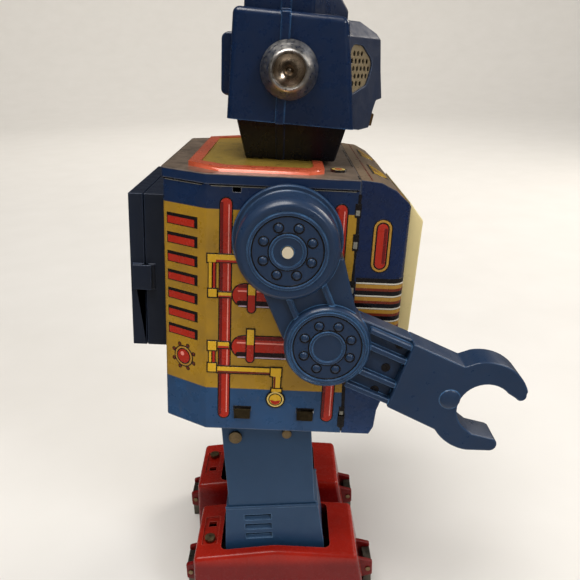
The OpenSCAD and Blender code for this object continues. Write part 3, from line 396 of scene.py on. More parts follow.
INK_COLORS = {
    "black": rgb(18, 14, 16), "red": rgb(168, 34, 14), "dark_red": rgb(104, 16, 16),
    "pink": rgb(232, 140, 128), "yellow": rgb(212, 166, 30), "gold": rgb(170, 126, 44),
    "cream": rgb(214, 186, 104), "brown": rgb(112, 40, 20), "white": rgb(206, 200, 184),
    "worn": rgb(128, 126, 116), "dark": rgb(34, 10, 14), "lilac": rgb(176, 160, 176),
}
for ink_name, ink_rgb in INK_COLORS.items():
    LOOKS["ink_" + ink_name] = tin_print("ink_" + ink_name, ink_rgb, rough=0.24, metal=0.05, wear=0.25)

LOOKS["sole"] = metal("dull_steel", rgb(112, 106, 96), rough=0.4, dark=0.6, spots=0.6)
LOOKS["rod"] = plastic("rod_end", rgb(196, 184, 160), rgb(224, 214, 190), rough=0.4, unit=1000.0)
LOOKS["tab"] = metal("dark_tabs", rgb(96, 84, 62), rough=0.45, dark=0.4, spots=0.9)

CAD_LOOKS = {
    "blue_tin": ["base_plate"],
    "clear": ["screen_window"],
    "bulb": ["bulb"],
    "rod": ["shoulder_rod"],
    "slider": ["switch_slider"],
    "cell": ["battery_cells"],
    "wire": ["wires"],
    "film": ["picture_drum"],
    "brass": ["battery_contacts", "bulb_holder", "motor_pinion"],
    "nylon": ["first_gear", "second_gear", "crank_gear", "drum_drive_gear", "drum_idler_gear", "drum_gear"],
    "steel_m": ["lid_hinge_pin", "crankshaft", "gear_axles", "hip_axle"],
    "bright_tin": ["chassis_plate", "switch_frame", "motor_case", "gearbox_plates", "drum_brackets"],
}
for which in ("right", "left"):
    CAD_LOOKS["bright_tin"] += [which + "_arm_lever", which + "_leg_lever"]
    CAD_LOOKS["steel_m"] += ["ankle_axle_" + which]
    CAD_LOOKS.setdefault("screw", []).extend([which + "_leg_fasteners", which + "_foot_fasteners"])
    CAD_LOOKS.setdefault("sole", []).append(which + "_sole_plate")
    CAD_LOOKS.setdefault("rubber", []).extend([which + "_toe_rollers", which + "_heel_rollers"])


def dress_cad_nodes():
    """Materials for the CAD nodes that show, or could show, as they are."""
    for look, nodes in CAD_LOOKS.items():
        for node in nodes:
            data = frame["nodes"][node].data
            data.materials.clear()
            data.materials.append(LOOKS[look])
    # the chassis plate's tabs come out through the torso's sides
    chassis = frame["nodes"]["chassis_plate"].data
    chassis.materials.append(LOOKS["tab"])
    for face in chassis.polygons:
        face.material_index = int(abs(face.center.x) > HALF * MM)


# ---- mesh helpers ----


def arc(center, r, start, end, steps):
    """Points round a circle, from one angle to another in degrees, both ends included."""
    turns = [math.radians(start + (end - start) * k / steps) for k in range(steps + 1)]
    return [(center[0] + r * math.cos(a), center[1] + r * math.sin(a)) for a in turns]


def disc(s, v, r, steps=28):
    return arc((s, v), r, 0, 360, steps)[:-1]


def rect(s0, s1, v0, v1):
    return [(s0, v0), (s1, v0), (s1, v1), (s0, v1)]


def span(side, a, b):
    """The two ends of a stretch across the robot, lower first, on its right (-1) or left (1) side."""
    return sorted((side * a, side * b))


def loft(rings):
    """A closed solid through rings of points that have as many corners each."""
    part = bmesh.new()
    rows = [[part.verts.new(p) for p in ring] for ring in rings]
    part.faces.new(rows[0][::-1])
    part.faces.new(rows[-1])
    for a, b in zip(rows, rows[1:]):
        for i in range(len(a)):
            j = (i + 1) % len(a)
            part.faces.new((a[i], a[j], b[j], b[i]))
    bmesh.ops.recalc_face_normals(part, faces=part.faces)
    return part


def prism(bm, outline, lo, hi, axis="x", bevel=0.0):
    """A closed solid: an outline in (f, v), (across, f) or (across, v), pulled along the third direction."""
    put = {
        "x": lambda p, h: (h, -p[0], p[1]),
        "v": lambda p, h: (p[0], -p[1], h),
        "f": lambda p, h: (p[0], -h, p[1]),
        "f_back": lambda p, h: (p[0], h, p[1]),
    }[axis]
    part = loft([[put(p, h) for p in outline] for h in (lo, hi)])
    round_edges(part, bevel)
    merge(bm, part)


def round_edges(bm, width, steps=3, least_deg=28.0, clamp=True):
    if width <= 0:
        return
    sharp = [
        e for e in bm.edges
        if len(e.link_faces) == 2 and e.calc_face_angle(0.0) > math.radians(least_deg)
    ]
    bmesh.ops.bevel(
        bm, geom=sharp, offset=width, segments=steps, profile=0.5, affect="EDGES", clamp_overlap=clamp
    )


def merge(bm, part):
    """Adds part's faces to bm, and frees part."""
    copy = {v: bm.verts.new(v.co) for v in part.verts}
    for f in part.faces:
        bm.faces.new([copy[v] for v in f.verts])
    part.free()


def lathe(bm, profile, at, side, x0, steps=64):
    """A closed ring or cap turned about the cross axis through at, its heights measured outwards from x0."""
    part = bmesh.new()
    rings = []
    for r, h in profile:
        if r < 1e-6:
            rings.append([part.verts.new((side * (x0 + h), -at[0], at[1]))] * steps)
            continue
        rings.append([
            part.verts.new((
                side * (x0 + h),
                -at[0] - r * math.cos(2 * math.pi * i / steps),
                at[1] + r * math.sin(2 * math.pi * i / steps),
            )) for i in range(steps)
        ])
    closed = profile[0][0] > 1e-6 and profile[-1][0] > 1e-6
    pairs = list(zip(rings, rings[1:])) + ([(rings[-1], rings[0])] if closed else [])
    for a, b in pairs:
        for i in range(steps):
            j = (i + 1) % steps
            corners = []
            for v in (a[i], a[j], b[j], b[i]):
                if v not in corners:
                    corners.append(v)
            if len(corners) > 2:
                part.faces.new(corners)
    bmesh.ops.recalc_face_normals(part, faces=part.faces)
    merge(bm, part)


def cad_copy(node, place, bevel=0.3, steps=2):
    """A CAD node's shape as clean faces in the frame place, with its edges broken."""
    bm = bmesh.new()
    bm.from_mesh(frame["nodes"][node].data)
    bm.transform(place.inverted())
    bmesh.ops.remove_doubles(bm, verts=bm.verts, dist=0.003)
    bmesh.ops.dissolve_limit(bm, angle_limit=math.radians(0.8), verts=bm.verts, edges=bm.edges)
    round_edges(bm, bevel, steps, clamp=False)
    return bm


def rounded(outline, r, steps=5):
    """The outline with its corners turned into arcs of radius r."""
    out = []
    count = len(outline)
    for i in range(count):
        a, b, c = (Vector(outline[(i + k) % count]) for k in (-1, 0, 1))
        u, w = (a - b).normalized(), (c - b).normalized()
        half = math.acos(max(-1.0, min(1.0, u.dot(w)))) / 2
        if half > math.radians(86):
            out.append(tuple(b))
            continue
        reach = min(r / math.tan(half), 0.45 * (a - b).length, 0.45 * (c - b).length)
        radius = reach * math.tan(half)
        middle = b + (u + w).normalized() * (radius / math.sin(half))
        start, end = b + u * reach - middle, b + w * reach - middle
        a0 = math.atan2(start.y, start.x)
        sweep = (math.atan2(end.y, end.x) - a0 + math.pi) % (2 * math.pi) - math.pi
        for k in range(steps + 1):
            t = a0 + sweep * k / steps
            out.append((middle.x + radius * math.cos(t), middle.y + radius * math.sin(t)))
    return out


def carve(bm, cutter):
    """bm with cutter taken out of it."""
    objects = []
    for part in (bm, cutter):
        mesh = bpy.data.meshes.new("carving")
        part.to_mesh(mesh)
        part.free()
        objects.append(new_object("carving", mesh))
    cut = objects[0].modifiers.new("cut", "BOOLEAN")
    cut.operation = "DIFFERENCE"
    cut.solver = "EXACT"
    cut.object = objects[1]
    bpy.context.view_layer.update()
    result = objects[0].evaluated_get(bpy.context.evaluated_depsgraph_get()).to_mesh()
    out = bmesh.new()
    out.from_mesh(result)
    for obj in objects:
        bpy.data.objects.remove(obj)
    bmesh.ops.dissolve_limit(out, angle_limit=math.radians(0.5), verts=out.verts, edges=out.edges)
    return out


def halved(bm, at, normal):
    """Cuts away the side of bm that normal points to, and closes the cut."""
    geom = bm.verts[:] + bm.edges[:] + bm.faces[:]
    cut = bmesh.ops.bisect_plane(bm, geom=geom, plane_co=at, plane_no=normal, clear_outer=True)
    rim = [e for e in cut["geom_cut"] if isinstance(e, bmesh.types.BMEdge)]
    bmesh.ops.edgenet_fill(bm, edges=rim)
    bmesh.ops.recalc_face_normals(bm, faces=bm.faces)


def dome(bm, at, r, rise, side, x0):
    """A low round head, such as a moulded rivet."""
    steps = 5
    curve = [(r * math.cos(a), rise * math.sin(a)) for a in [math.pi / 2 * k / steps for k in range(steps)]]
    lathe(bm, [(0, -0.3), (r, -0.3)] + curve + [(0, rise)], at, side, x0, 20)


def new_object(name, data):
    obj = bpy.data.objects.new(name, data)
    bpy.context.scene.collection.objects.link(obj)
    return obj


def piece(name, bm, place, body, look, slot, stands_for=(), smooth_deg=32.0):
    """Turns bm into an object with clean normals that rides on body."""
    mesh = bpy.data.meshes.new(name)
    bm.to_mesh(mesh)
    bm.free()
    obj = new_object(name, mesh)
    mesh.shade_smooth()
    mesh.set_sharp_from_angle(angle=math.radians(smooth_deg))
    mesh.materials.append(LOOKS[look])
    normals = obj.modifiers.new("even_normals", "WEIGHTED_NORMAL")
    normals.keep_sharp = True
    obj.matrix_world = place
    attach(obj, body)
    if stands_for:
        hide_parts(*stands_for)
    return obj


# ---- pieces taken over from the CAD shape ----


LID_PANEL_HALF, LID_PANEL_BACK, LID_PANEL_FRONT = 31, 4, -34
LID_FRAME_TOP = TORSO_H + 1.4
ROOF_V = 81


def paint_lid(obj):
    """The lid's raised frame and the panel inside it have their own prints."""
    obj.data.materials.append(LOOKS["frame"])
    obj.data.materials.append(LOOKS["panel"])
    for face in obj.data.polygons:
        x, y, z = face.center
        if z > TORSO_H + 0.05:
            inside = abs(x) < LID_PANEL_HALF and LID_PANEL_FRONT < y < LID_PANEL_BACK and z < LID_FRAME_TOP
            face.material_index = 2 if inside and face.normal.z > 0.9 else 1


def lid_panel():
    """A shallow raised panel and grip ribs on the battery lid."""
    bm = bmesh.new()
    prism(bm, rounded([(-22, 28.5), (22, 28.5), (22, 76), (-22, 76)], 2), 29.0, 29.8, "f_back", bevel=0.35)
    for k in range(6):
        prism(bm, rect(-15, 15, 33 + 3.2 * k, 34.4 + 3.2 * k), 29.6, 30.5, "f_back", bevel=0.35)
    piece("battery_lid_panel", bm, UPPER, frame["nodes"]["battery_lid"]["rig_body"], "box", "box_plastic")


def paint_roof(obj):
    """The fascia's rounded top carries the lid's worn print."""
    obj.data.materials.append(LOOKS["roof"])
    for face in obj.data.polygons:
        face.material_index = int(face.normal.z > 0.4 and face.center.z > ROOF_V)


def plain_copies():
    """Pieces whose shape is the CAD node's own, with its edges broken where the row gives a bevel."""
    rows = [
        ("screen_bezel", UPPER, "ivory", "ivory_plastic", 0.5),
        ("battery_box", UPPER, "box", "box_plastic", 0.35),
        ("battery_lid", UPPER, "box", "box_plastic", 0.35),
        ("torso_body", *TORSO, "torso_litho", 0.0),
        ("front_fascia", UPPER, "fascia", "fascia_litho", 0.0),
        ("top_plate", UPPER, "lid", "lid_litho", 0.0),
        ("mouth_bar", UPPER, "mouth", "mouth_foil", 0.2),
        ("right_leg_shell", FLOOR, "leg", "leg_plastic", 0.35),
        ("left_leg_shell", FLOOR, "leg", "leg_plastic", 0.35),
    ]
    for node, place, look, slot, bevel in rows:
        body = frame["nodes"][node]["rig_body"]
        bm = cad_copy(node, place, bevel)
        obj = piece(node + "_skin", bm, place, body, look, slot, (node,))
        if node == "top_plate":
            paint_lid(obj)
        if node == "front_fascia":
            paint_roof(obj)


# ---- head ----

HEAD_HALF, TIER_HALF, LUMP_HALF = 27.0, 20, 17
SKULL_SOFT_V = 109
NECK_V, NECK_HALF, NECK_FLARE = 93.2, 20.0, 4.6 / 15.3
GRILLE_BACK = 1.7
EAR = (24.6, 123.3)
SKULL = [(4.4, 107.1), (5.9, 142), (43.2, 140.2), (47.2, 105.2)]
TIER = [(9, 139), (9, 148.6), (10.4, 150), (39.4, 150), (43.3, 145.3), (47.4, 140.4), (46.5, 138.8)]
LUMP = [(1.5, 115), (1.5, 133), (3, 134.4), (8, 134.4), (8, 113.8), (3, 113.8)]
FACE = [
    (42, 139.6), (48, 139.7), (54.6, 136.2), (56.2, 134.2), (57.3, 124.2), (58.8, 114.5), (56.4, 114),
    (55.3, 110.7), (54.0, 104.6), (49.9, 104.2), (46, 105.0), (42, 107),
]
CHEEK_BACK, CHEEK_FRONT = (26.0, 43.5), (4.0, 58.0)
GRILLE = [(1.8, 132.4), (10.4, 131.9), (18.9, 126.9), (15.1, 119.3), (4.3, 116.3), (2.2, 117.4)]


def cheek_point(side, along, v, depth):
    """A point of the cheek: along it towards the nose, at height v, and depth behind its surface."""
    t = (Vector(CHEEK_FRONT) - Vector(CHEEK_BACK)).normalized()
    inward = Vector((-t.y, t.x))
    p = Vector(CHEEK_BACK) + t * along + inward * depth
    return Vector((side * p.x, -p.y, v))


def cheek_normal(side):
    return cheek_point(side, 0, 0, -1) - cheek_point(side, 0, 0, 0)


def cheek_slab(bm, side, outline, d0, d1):
    """A closed solid through the cheek from depth d0 to d1."""
    merge(bm, loft([[cheek_point(side, a, v, d) for a, v in outline] for d in (d0, d1)]))


def perforated(bm, side, outline, holes, depth, thick):
    """A thin plate with round holes, lying in the cheek at depth."""
    part = bmesh.new()
    for loop in [outline] + [disc(a, v, r, 12) for a, v, r in holes]:
        ring = [part.verts.new((a, v, 0)) for a, v in loop]
        for i in range(len(ring)):
            part.edges.new((ring[i], ring[(i + 1) % len(ring)]))
    bmesh.ops.triangle_fill(part, use_beauty=True, use_dissolve=False, edges=part.edges[:])
    back = bmesh.ops.extrude_face_region(part, geom=part.faces[:])
    moved = {v for v in back["geom"] if isinstance(v, bmesh.types.BMVert)}
    for v in part.verts:
        v.co = cheek_point(side, v.co.x, v.co.y, depth + (thick if v in moved else 0.0))
    bmesh.ops.recalc_face_normals(part, faces=part.faces)
    merge(bm, part)


def in_outline(p, outline, margin):
    """True where p is inside the convex-ish outline by at least margin."""
    x, y = p
    inside = False
    for (ax, ay), (bx, by) in zip(outline, outline[1:] + outline[:1]):
        if (ay > y) != (by > y) and x < (bx - ax) * (y - ay) / (by - ay) + ax:
            inside = not inside
        t = ((x - ax) * (bx - ax) + (y - ay) * (by - ay)) / ((bx - ax) ** 2 + (by - ay) ** 2 + 1e-9)
        t = max(0.0, min(1.0, t))
        if math.hypot(ax + t * (bx - ax) - x, ay + t * (by - ay) - y) < margin:
            return False
    return inside


RIDGE_F = (21.2, 24.4)


def ridge(bm, low, high, across):
    """A flat strip over the joint between the head's halves."""
    prism(bm, rect(*RIDGE_F, low, high), -across, across, bevel=0.3)


def skull():
    bm = bmesh.new()
    solid = bmesh.new()
    prism(solid, SKULL, -HEAD_HALF, HEAD_HALF)
    soft = [e for e in solid.edges if any(v.co.z >= SKULL_SOFT_V for v in e.verts)]
    bmesh.ops.bevel(solid, geom=soft, offset=2.2, segments=5, profile=0.5, affect="EDGES", clamp_overlap=True)
    merge(bm, solid)
    prism(bm, LUMP, -LUMP_HALF, LUMP_HALF, bevel=1.3)
    for side in (-1, 1):
        lo, hi = span(side, HEAD_HALF - 1, HEAD_HALF + 0.9)
        prism(bm, [(20.7, 106.0), (21.6, 140.9), (24.4, 140.9), (23.5, 106.0)], lo, hi, bevel=0.35)
    ridge(bm, 140.2, 141.8, HEAD_HALF)
    piece("head_skull", bm, *TORSO, "head", "head_plastic", ("head_rear_shell",))


def top_tier():
    bm = bmesh.new()
    prism(bm, TIER, -TIER_HALF, TIER_HALF)
    for side in (-1, 1):
        halved(bm, Vector((side * TIER_HALF, -31.8, 145)), cheek_normal(side))
    round_edges(bm, 1.2)
    ridge(bm, 139, 150.6, TIER_HALF + 0.6)
    piece("head_top_tier", bm, *TORSO, "head", "head_plastic")


def neck():
    rings = []
    for v, back, front, half in ((NECK_V, 10.6, 42, NECK_HALF), (108.5, 7.2, 45.6, 24.6)):
        rings.append([(-half, -back, v), (half, -back, v), (half, -front, v), (-half, -front, v)])
    bm = loft(rings)
    round_edges(bm, 0.9)
    for side in (-1, 1):
        rib = bmesh.new()
        prism(rib, [(21.4, NECK_V), (20.9, 107), (23.8, 107), (24.0, NECK_V)], 0, 1.3, bevel=0.3)
        for v in rib.verts:
            flare = (v.co.z - NECK_V) * NECK_FLARE
            v.co.x = side * (v.co.x + NECK_HALF - 0.6 + flare)
        bmesh.ops.recalc_face_normals(rib, faces=rib.faces)
        merge(bm, rib)
    # The neck wears the head's navy painted near black, as painted shade under the head.
    piece("neck_block", bm, *TORSO, "neck", "head_plastic")


def face_mask(window):
    bm = bmesh.new()
    prism(bm, FACE, -HEAD_HALF + 0.3, HEAD_HALF - 0.3)
    for side in (-1, 1):
        normal = cheek_normal(side)
        halved(bm, cheek_point(side, 5, 120, 0), normal)
        tilt = (normal.normalized() + Vector((0, 0, 0.9))).normalized()
        halved(bm, cheek_point(side, 5, 134.6, 0), tilt)
    cutter = bmesh.new()
    for side in (-1, 1):
        cheek_slab(cutter, side, window, -6, GRILLE_BACK)
    prism(cutter, [(54.9, 109.4), (62, 109.4), (62, 104.4), (54.3, 104.4)], -5, 5)
    bm = carve(bm, cutter)
    round_edges(bm, 0.35, 2, clamp=False, least_deg=24)
    # The face wears a paler grey copy of the head's navy, as painted light on its lit front.
    piece("face_mask", bm, *TORSO, "face", "head_plastic", ("head_front_shell",))


def cheek_grilles(window):
    holes = []
    for row in range(7):
        v = 117.4 + row * 2.4
        for k in range(8):
            along = 1.5 + 2.7 * k + (1.35 if row % 2 else 0.0)
            if in_outline((along, v), window, 1.0):
                holes.append((along, v, 0.86))
    # The black sheet behind the perforated plate is painted shade, so that the grille's holes read dark.
    plate, shade_sheet = bmesh.new(), bmesh.new()
    for side in (-1, 1):
        perforated(plate, side, window, holes, 0.7, 0.35)
        cheek_slab(shade_sheet, side, window, 1.5, GRILLE_BACK + 0.05)
    piece("cheek_grilles", plate, *TORSO, "grille", "grille_tin", ("face_grilles",))
    piece("grille_shade_sheet", shade_sheet, *TORSO, "ink_black", "grille_tin")


def ears():
    cone = [
        (7.0, 0), (9.3, 0), (9.5, 0.3), (9.4, 1.2), (8.0, 4.4), (6.7, 7.1), (6.4, 7.7), (6.0, 7.95),
        (5.6, 7.9), (5.3, 7.5), (5.1, 6.6), (6.2, 2),
    ]
    dish = [
        (0, -1.4), (6.9, -1.4), (6.8, 0.3), (6.0, 3.6), (5.1, 3.9), (3.4, 2.4), (1.7, 1.8), (1.0, 2.3),
        (0.6, 3.6), (0, 3.9),
    ]
    cones, dishes = bmesh.new(), bmesh.new()
    for side in (-1, 1):
        lathe(cones, cone, EAR, side, HEAD_HALF, 72)
        lathe(dishes, dish, EAR, side, HEAD_HALF, 48)
    piece("ear_cones_skin", cones, *TORSO, "chrome", "chrome", ("ear_cones",))
    piece("ear_dishes", dishes, *TORSO, "reflector", "chrome", ("ear_reflectors",))


def head():
    window = rounded(GRILLE, 3.2)
    skull()
    top_tier()
    neck()
    face_mask(window)
    cheek_grilles(window)
    ears()


# ---- arms ----

UPPER_ARM = [(19.2, 57.4), (26.4, 41.4), (40.6, 40.6), (49.4, 51.7), (44, 69.9), (26.5, 72)]
FOREARM = [(40.6, 40.6), (50.8, 50.1), (68.3, 43.3), (61.6, 20.2), (48.9, 25.9)]
FOREARM_HOLES = ((64.2, 41.6), (60.4, 33.2), (57.4, 24.9))
CLAW_AT, CLAW_R = (94.2, 20.6), 9.3
LEFT_DROP = 22.0
PLATE_X, HAND_X = 50.7, 61.6
RIVET_RING, RIVETS = 8.0, 8
DISCS = ((SHOULDER, 61.5, 5.95), (ELBOW, 61.3, 6.05))


def rivet_spots(at):
    """Where the rivets of the disc round at are: evenly spaced, the first half a step round."""
    return arc(at, RIVET_RING, 180 / RIVETS, 360 + 180 / RIVETS, RIVETS)[:-1]


def hand_outline():
    """The claw plate: the upper hook's back, its tip, the bite, then the lower finger."""
    crown = arc((93.0, 22.6), 15.4, 103, 20, 14)
    tip = arc((105.4, 26.2), 1.9, 20, -150, 6)
    bite = arc(CLAW_AT, CLAW_R, 42, 232, 20)
    finger = arc((97.8, 7.3), 2.4, 75, -80, 6)
    belly = arc((92.2, 20.9), 16.2, 262, 212, 9)
    return [(61.6, 20.2), (68.3, 43.3), (85.6, 36.0)] + crown + tip + bite + [(91.2, 11.2)] + finger + belly


def bar_along(start, direction, t0, t1, n, half):
    """A straight rib's outline beside a line: from t0 to t1 along it, at offset n."""
    d = Vector(direction).normalized()
    up = Vector((-d.y, d.x))
    p = Vector(start)
    return [
        tuple(p + d * t + up * (n + k * half)) for t, k in ((t0, -1), (t1, -1), (t1, 1), (t0, 1))
    ]


def disc_face(base, r_ring, r_boss, x):
    """The raised rings of a joint cover, as profile points from its outer ring inwards."""
    ridge_shape = ((0.55, 0), (0.45, 0.45), (0.2, 0.55), (-0.2, 0.55), (-0.45, 0.4), (-0.55, 0))
    return base + [(r + dr, x + dx) for r in (r_ring, r_boss) for dr, dx in ridge_shape]


def arm(side):
    bm = bmesh.new()
    hub = [
        (1.95, 0), (17.7, 0), (18, 0.4), (18, 1.8), (17.7, 2.2), (16.5, 2.3), (16.2, 2.6), (16.2, 12.4),
        (16.0, 13.2), (15.4, 14.2), (14.7, 14.9), (14.2, 15.1), (13.4, 15.0),
    ]
    lathe(bm, disc_face(hub, 11.8, 5.2, 14.7) + [(3.0, 14.7), (1.95, 14.7)], SHOULDER, side, 46.8, 96)
    cover = [(0, 0), (13.7, 0), (14, 0.4), (14, 9.6), (13.8, 10.3), (13.2, 10.9), (12.8, 10.9)]
    lathe(bm, disc_face(cover, 11.9, 5.3, 10.6) + [(0, 10.6)], ELBOW, side, PLATE_X, 80)
    for at, x, _ in DISCS:
        for spot in rivet_spots(at):
            dome(bm, spot, 1.25, 0.7, side, x)
    prism(bm, UPPER_ARM, *span(side, PLATE_X, 58.8), bevel=0.9)
    toward = Vector(ELBOW) - Vector(SHOULDER)
    for n in (-5.6, 6.2):
        prism(bm, bar_along(SHOULDER, toward, 14, 25, n, 0.8), *span(side, 55, 60.2), bevel=0.35)
    prism(bm, FOREARM, *span(side, PLATE_X, 58.4), bevel=0.6)
    ribs = ((5.8, 12, 27.5, 0.9), (-3.3, 12, 28, 0.9), (10.9, 10, 26, 0.8), (-9.4, 11, 28.5, 0.9))
    for n, t0, t1, half in ribs:
        prism(bm, bar_along(ELBOW, (1, -0.41), t0, t1, n, half), *span(side, 55, 60.8), bevel=0.35)
    prism(bm, hand_outline(), *span(side, PLATE_X, HAND_X), bevel=1.1)
    dome(bm, (82, 24.1), 3.5, 0.9, side, HAND_X)
    return bm


def ring_groove(bm, at, r, half, side, x, steps):
    """A dark line round a circle on the face at x, as painted shade."""
    lathe(bm, [(r - half, -0.1), (r + half, -0.1), (r + half, 0.04), (r - half, 0.04)], at, side, x, steps)


def arm_hole_shade(side):
    """Dark linings, as painted shade: the holes through the forearm, and the grooves round the rivets and
    rings.
    """
    bm = bmesh.new()
    for at, x, boss in DISCS:
        for spot in rivet_spots(at):
            ring_groove(bm, spot, 1.475, 0.275, side, x, 20)
        for r in (11.0, boss):
            ring_groove(bm, at, r, 0.22, side, x, 72)
    for at in FOREARM_HOLES:
        lathe(bm, [(0, 0), (1.5, 0), (1.5, 0.35), (0, 0.35)], at, side, 58.2, 20)
    return bm


def arms():
    """Each arm as moulded, turned on its rod end by as much as its CAD node is."""
    shoulder = Vector((0, -SHOULDER[0], SHOULDER[1]))
    for name, side, drop in (("right_arm", -1, 0.0), ("left_arm", 1, LEFT_DROP)):
        body = frame["nodes"][name]["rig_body"]
        turned = Matrix.Translation(shoulder) @ Matrix.Rotation(math.radians(drop), 4, "X")
        place = UPPER @ turned @ Matrix.Translation(-shoulder)
        piece(name + "_skin", arm(side), place, body, "arm", "arm_plastic", (name,))
        # Painted shade: the dark linings of holes and grooves, in black ink.
        piece(name + "_hole_shade", arm_hole_shade(side), place, body, "ink_black", "arm_plastic")


# ---- legs and feet ----

LEG_X, LEG_HALF_T = 23.0, 11.0
FOOT_X, FOOT_HALF, BOOT_WALL = 24.0, 17.0, 1.8
SOLE_T = 1.5
FOOT_SIDE = [(37.1, SOLE_T), (33.1, 27.0), (0, 30.0), (-33.1, 27.0), (-34.1, SOLE_T)]
HOLLOW = [(35.2, -2), (31.3, 25.2), (0, 28.2), (-31.3, 25.2), (-32.2, -2)]
OPENING_X, OPENING_F = 14, 22.4
HEEL_RECESS = [(-24.3, 27.2), (-30.6, 26.6), (-30.6, 33), (-24.3, 33)]
HEEL_SLOT = [(-25.6, 20), (-29, 20), (-29, 33), (-25.6, 33)]
LUG_V, ANKLE_V = 11.0, 17.03
ROLLER_F, ROLLER_V = 21.0, 6.0


def foot(side, joint):
    """A boot: roofed deck with a rounded opening, a recessed heel, and lugs at toe and heel."""
    f0 = -JOINTS[joint]["pos_m"][1] / MM

    def moved(outline):
        return [(f0 + f, v) for f, v in outline]

    def cut(bm, outline, lo, hi, axis="x"):
        cutter = bmesh.new()
        prism(cutter, outline, lo, hi, axis)
        return carve(bm, cutter)

    bm = bmesh.new()
    prism(bm, moved(FOOT_SIDE), *span(side, FOOT_X - FOOT_HALF, FOOT_X + FOOT_HALF))
    soft = [e for e in bm.edges if not all(v.co.z < SOLE_T + 0.1 for v in e.verts)]
    bmesh.ops.bevel(bm, geom=soft, offset=1.7, segments=5, profile=0.5, affect="EDGES", clamp_overlap=True)
    inner, outer = FOOT_X - FOOT_HALF, FOOT_X + FOOT_HALF
    bm = cut(bm, moved(HOLLOW), *span(side, inner + BOOT_WALL, outer - BOOT_WALL))
    lo, hi = span(side, LEG_X - OPENING_X, LEG_X + OPENING_X)
    bm = cut(bm, rounded(rect(lo, hi, f0 - OPENING_F, f0 + OPENING_F), 2.6), 10, 40, "v")
    bm = cut(bm, moved(HEEL_RECESS), *span(side, 16, 33))
    bm = cut(bm, moved(HEEL_SLOT), *span(side, 18.5, 21.5))
    for x in (FOOT_X - 6.5, FOOT_X + 4.5):
        for root, tip in ((33.4, 40.7), (-31.4, -38.5)):
            lug = [(root, LUG_V - 5.5), (tip, LUG_V - 3.4), (tip, LUG_V + 3.4), (root, LUG_V + 5.5)]
            prism(bm, moved(lug), *span(side, x, x + 2), bevel=0.5)
    bosses = ((0, ANKLE_V, 4.4), (ROLLER_F, ROLLER_V, 3.4), (-ROLLER_F, ROLLER_V, 3.4))
    for x0 in (inner + 0.5, outer - 4.5):
        for f, v, r in bosses:
            lathe(bm, [(0, 0), (r, 0), (r, 4), (0, 4)], (f0 + f, v), side, x0, 32)
    return bm


SLEEVE = [(18.5, -54.9), (20.2, -73), (20.2, -79.6), (-20.2, -79.6), (-20.2, -73), (-18.5, -54.9)]
VENTS = (-60.0, -64.5, -69.0)
VENT_BACK, VENT_FRONT, VENT_HALF = -11.4, -0.6, 1.3


def leg_trim(side, face):
    """The thicker lower panel of one side of a leg, its top lip, and the slats in its vents."""
    def level(a, b):
        return span(side, LEG_X + face * a, LEG_X + face * b)

    bm = bmesh.new()
    prism(bm, SLEEVE, *level(LEG_HALF_T - 0.3, LEG_HALF_T + 0.5), bevel=0.3)
    if face > 0:
        slots = bmesh.new()
        for v in VENTS:
            prism(slots, rect(VENT_BACK, VENT_FRONT, v - VENT_HALF, v + VENT_HALF), *level(9, 13))
        bm = carve(bm, slots)
        for v in VENTS:
            x = side * (LEG_X + LEG_HALF_T)
            slat = [(x - side * k, v + h) for k, h in ((0.5, -1.3), (-0.1, -1.3), (0.5, -0.1), (1.1, -0.1))]
            prism(bm, slat, VENT_BACK + 0.1, VENT_FRONT - 0.1, "f")
    lip = rect(-18.7, 18.7, -55.6, -54.4)
    prism(bm, lip, *level(LEG_HALF_T, LEG_HALF_T + 0.75), bevel=0.3)
    return bm


def legs():
    for name, side in (("right", -1), ("left", 1)):
        body = frame["nodes"][name + "_foot_shell"]["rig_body"]
        shell = foot(side, name + "_ankle")
        piece(name + "_boot", shell, FLOOR, body, "foot", "foot_plastic", (name + "_foot_shell",))
        hip, ankle = (Vector(JOINTS[name + j]["pos_m"]) for j in ("_leg_swing", "_ankle"))
        swing = math.atan2(ankle.y - hip.y, hip.z - ankle.z)
        place = Matrix.Translation(hip) @ Matrix.Rotation(swing, 4, "X") @ FLOOR
        body = frame["nodes"][name + "_leg_shell"]["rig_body"]
        for face, where in ((1, "outer"), (-1, "inner")):
            piece(f"{name}_leg_{where}_panel", leg_trim(side, face), place, body, "leg", "leg_plastic")


# ---- lithography ----

CHAMFER = math.hypot(HALF - BACK_HALF, BACK_F)
TURN = math.acos((FRONT_F - CORNER_F) / math.hypot(HALF - FRONT_HALF, FRONT_F - CORNER_F))
CORNER_CUT = CORNER_R * math.tan(TURN / 2)
CORNER_START = CORNER_F - CORNER_CUT
CORNER_END = CORNER_START + CORNER_R * TURN
INK_STEP = 0.03


def wall(s, proud):
    """A point of the torso's outside in plan, s millimetres forward of the rear fold along the tin."""
    if s < 0:
        d = Vector((HALF - BACK_HALF, -BACK_F)) / CHAMFER
        p, normal = Vector((HALF, 0)) + d * s, Vector((d.y, -d.x))
    elif s <= CORNER_START:
        p, normal = Vector((HALF, s)), Vector((1, 0))
    elif s <= CORNER_END:
        a = (s - CORNER_START) / CORNER_R
        normal = Vector((math.cos(a), math.sin(a)))
        p = Vector((HALF - CORNER_R, CORNER_START)) + normal * CORNER_R
    else:
        d = Vector((-math.sin(TURN), math.cos(TURN)))
        normal = Vector((math.cos(TURN), math.sin(TURN)))
        p = Vector((HALF - CORNER_R, CORNER_START)) + normal * CORNER_R + d * (s - CORNER_END)
    return p + normal * proud


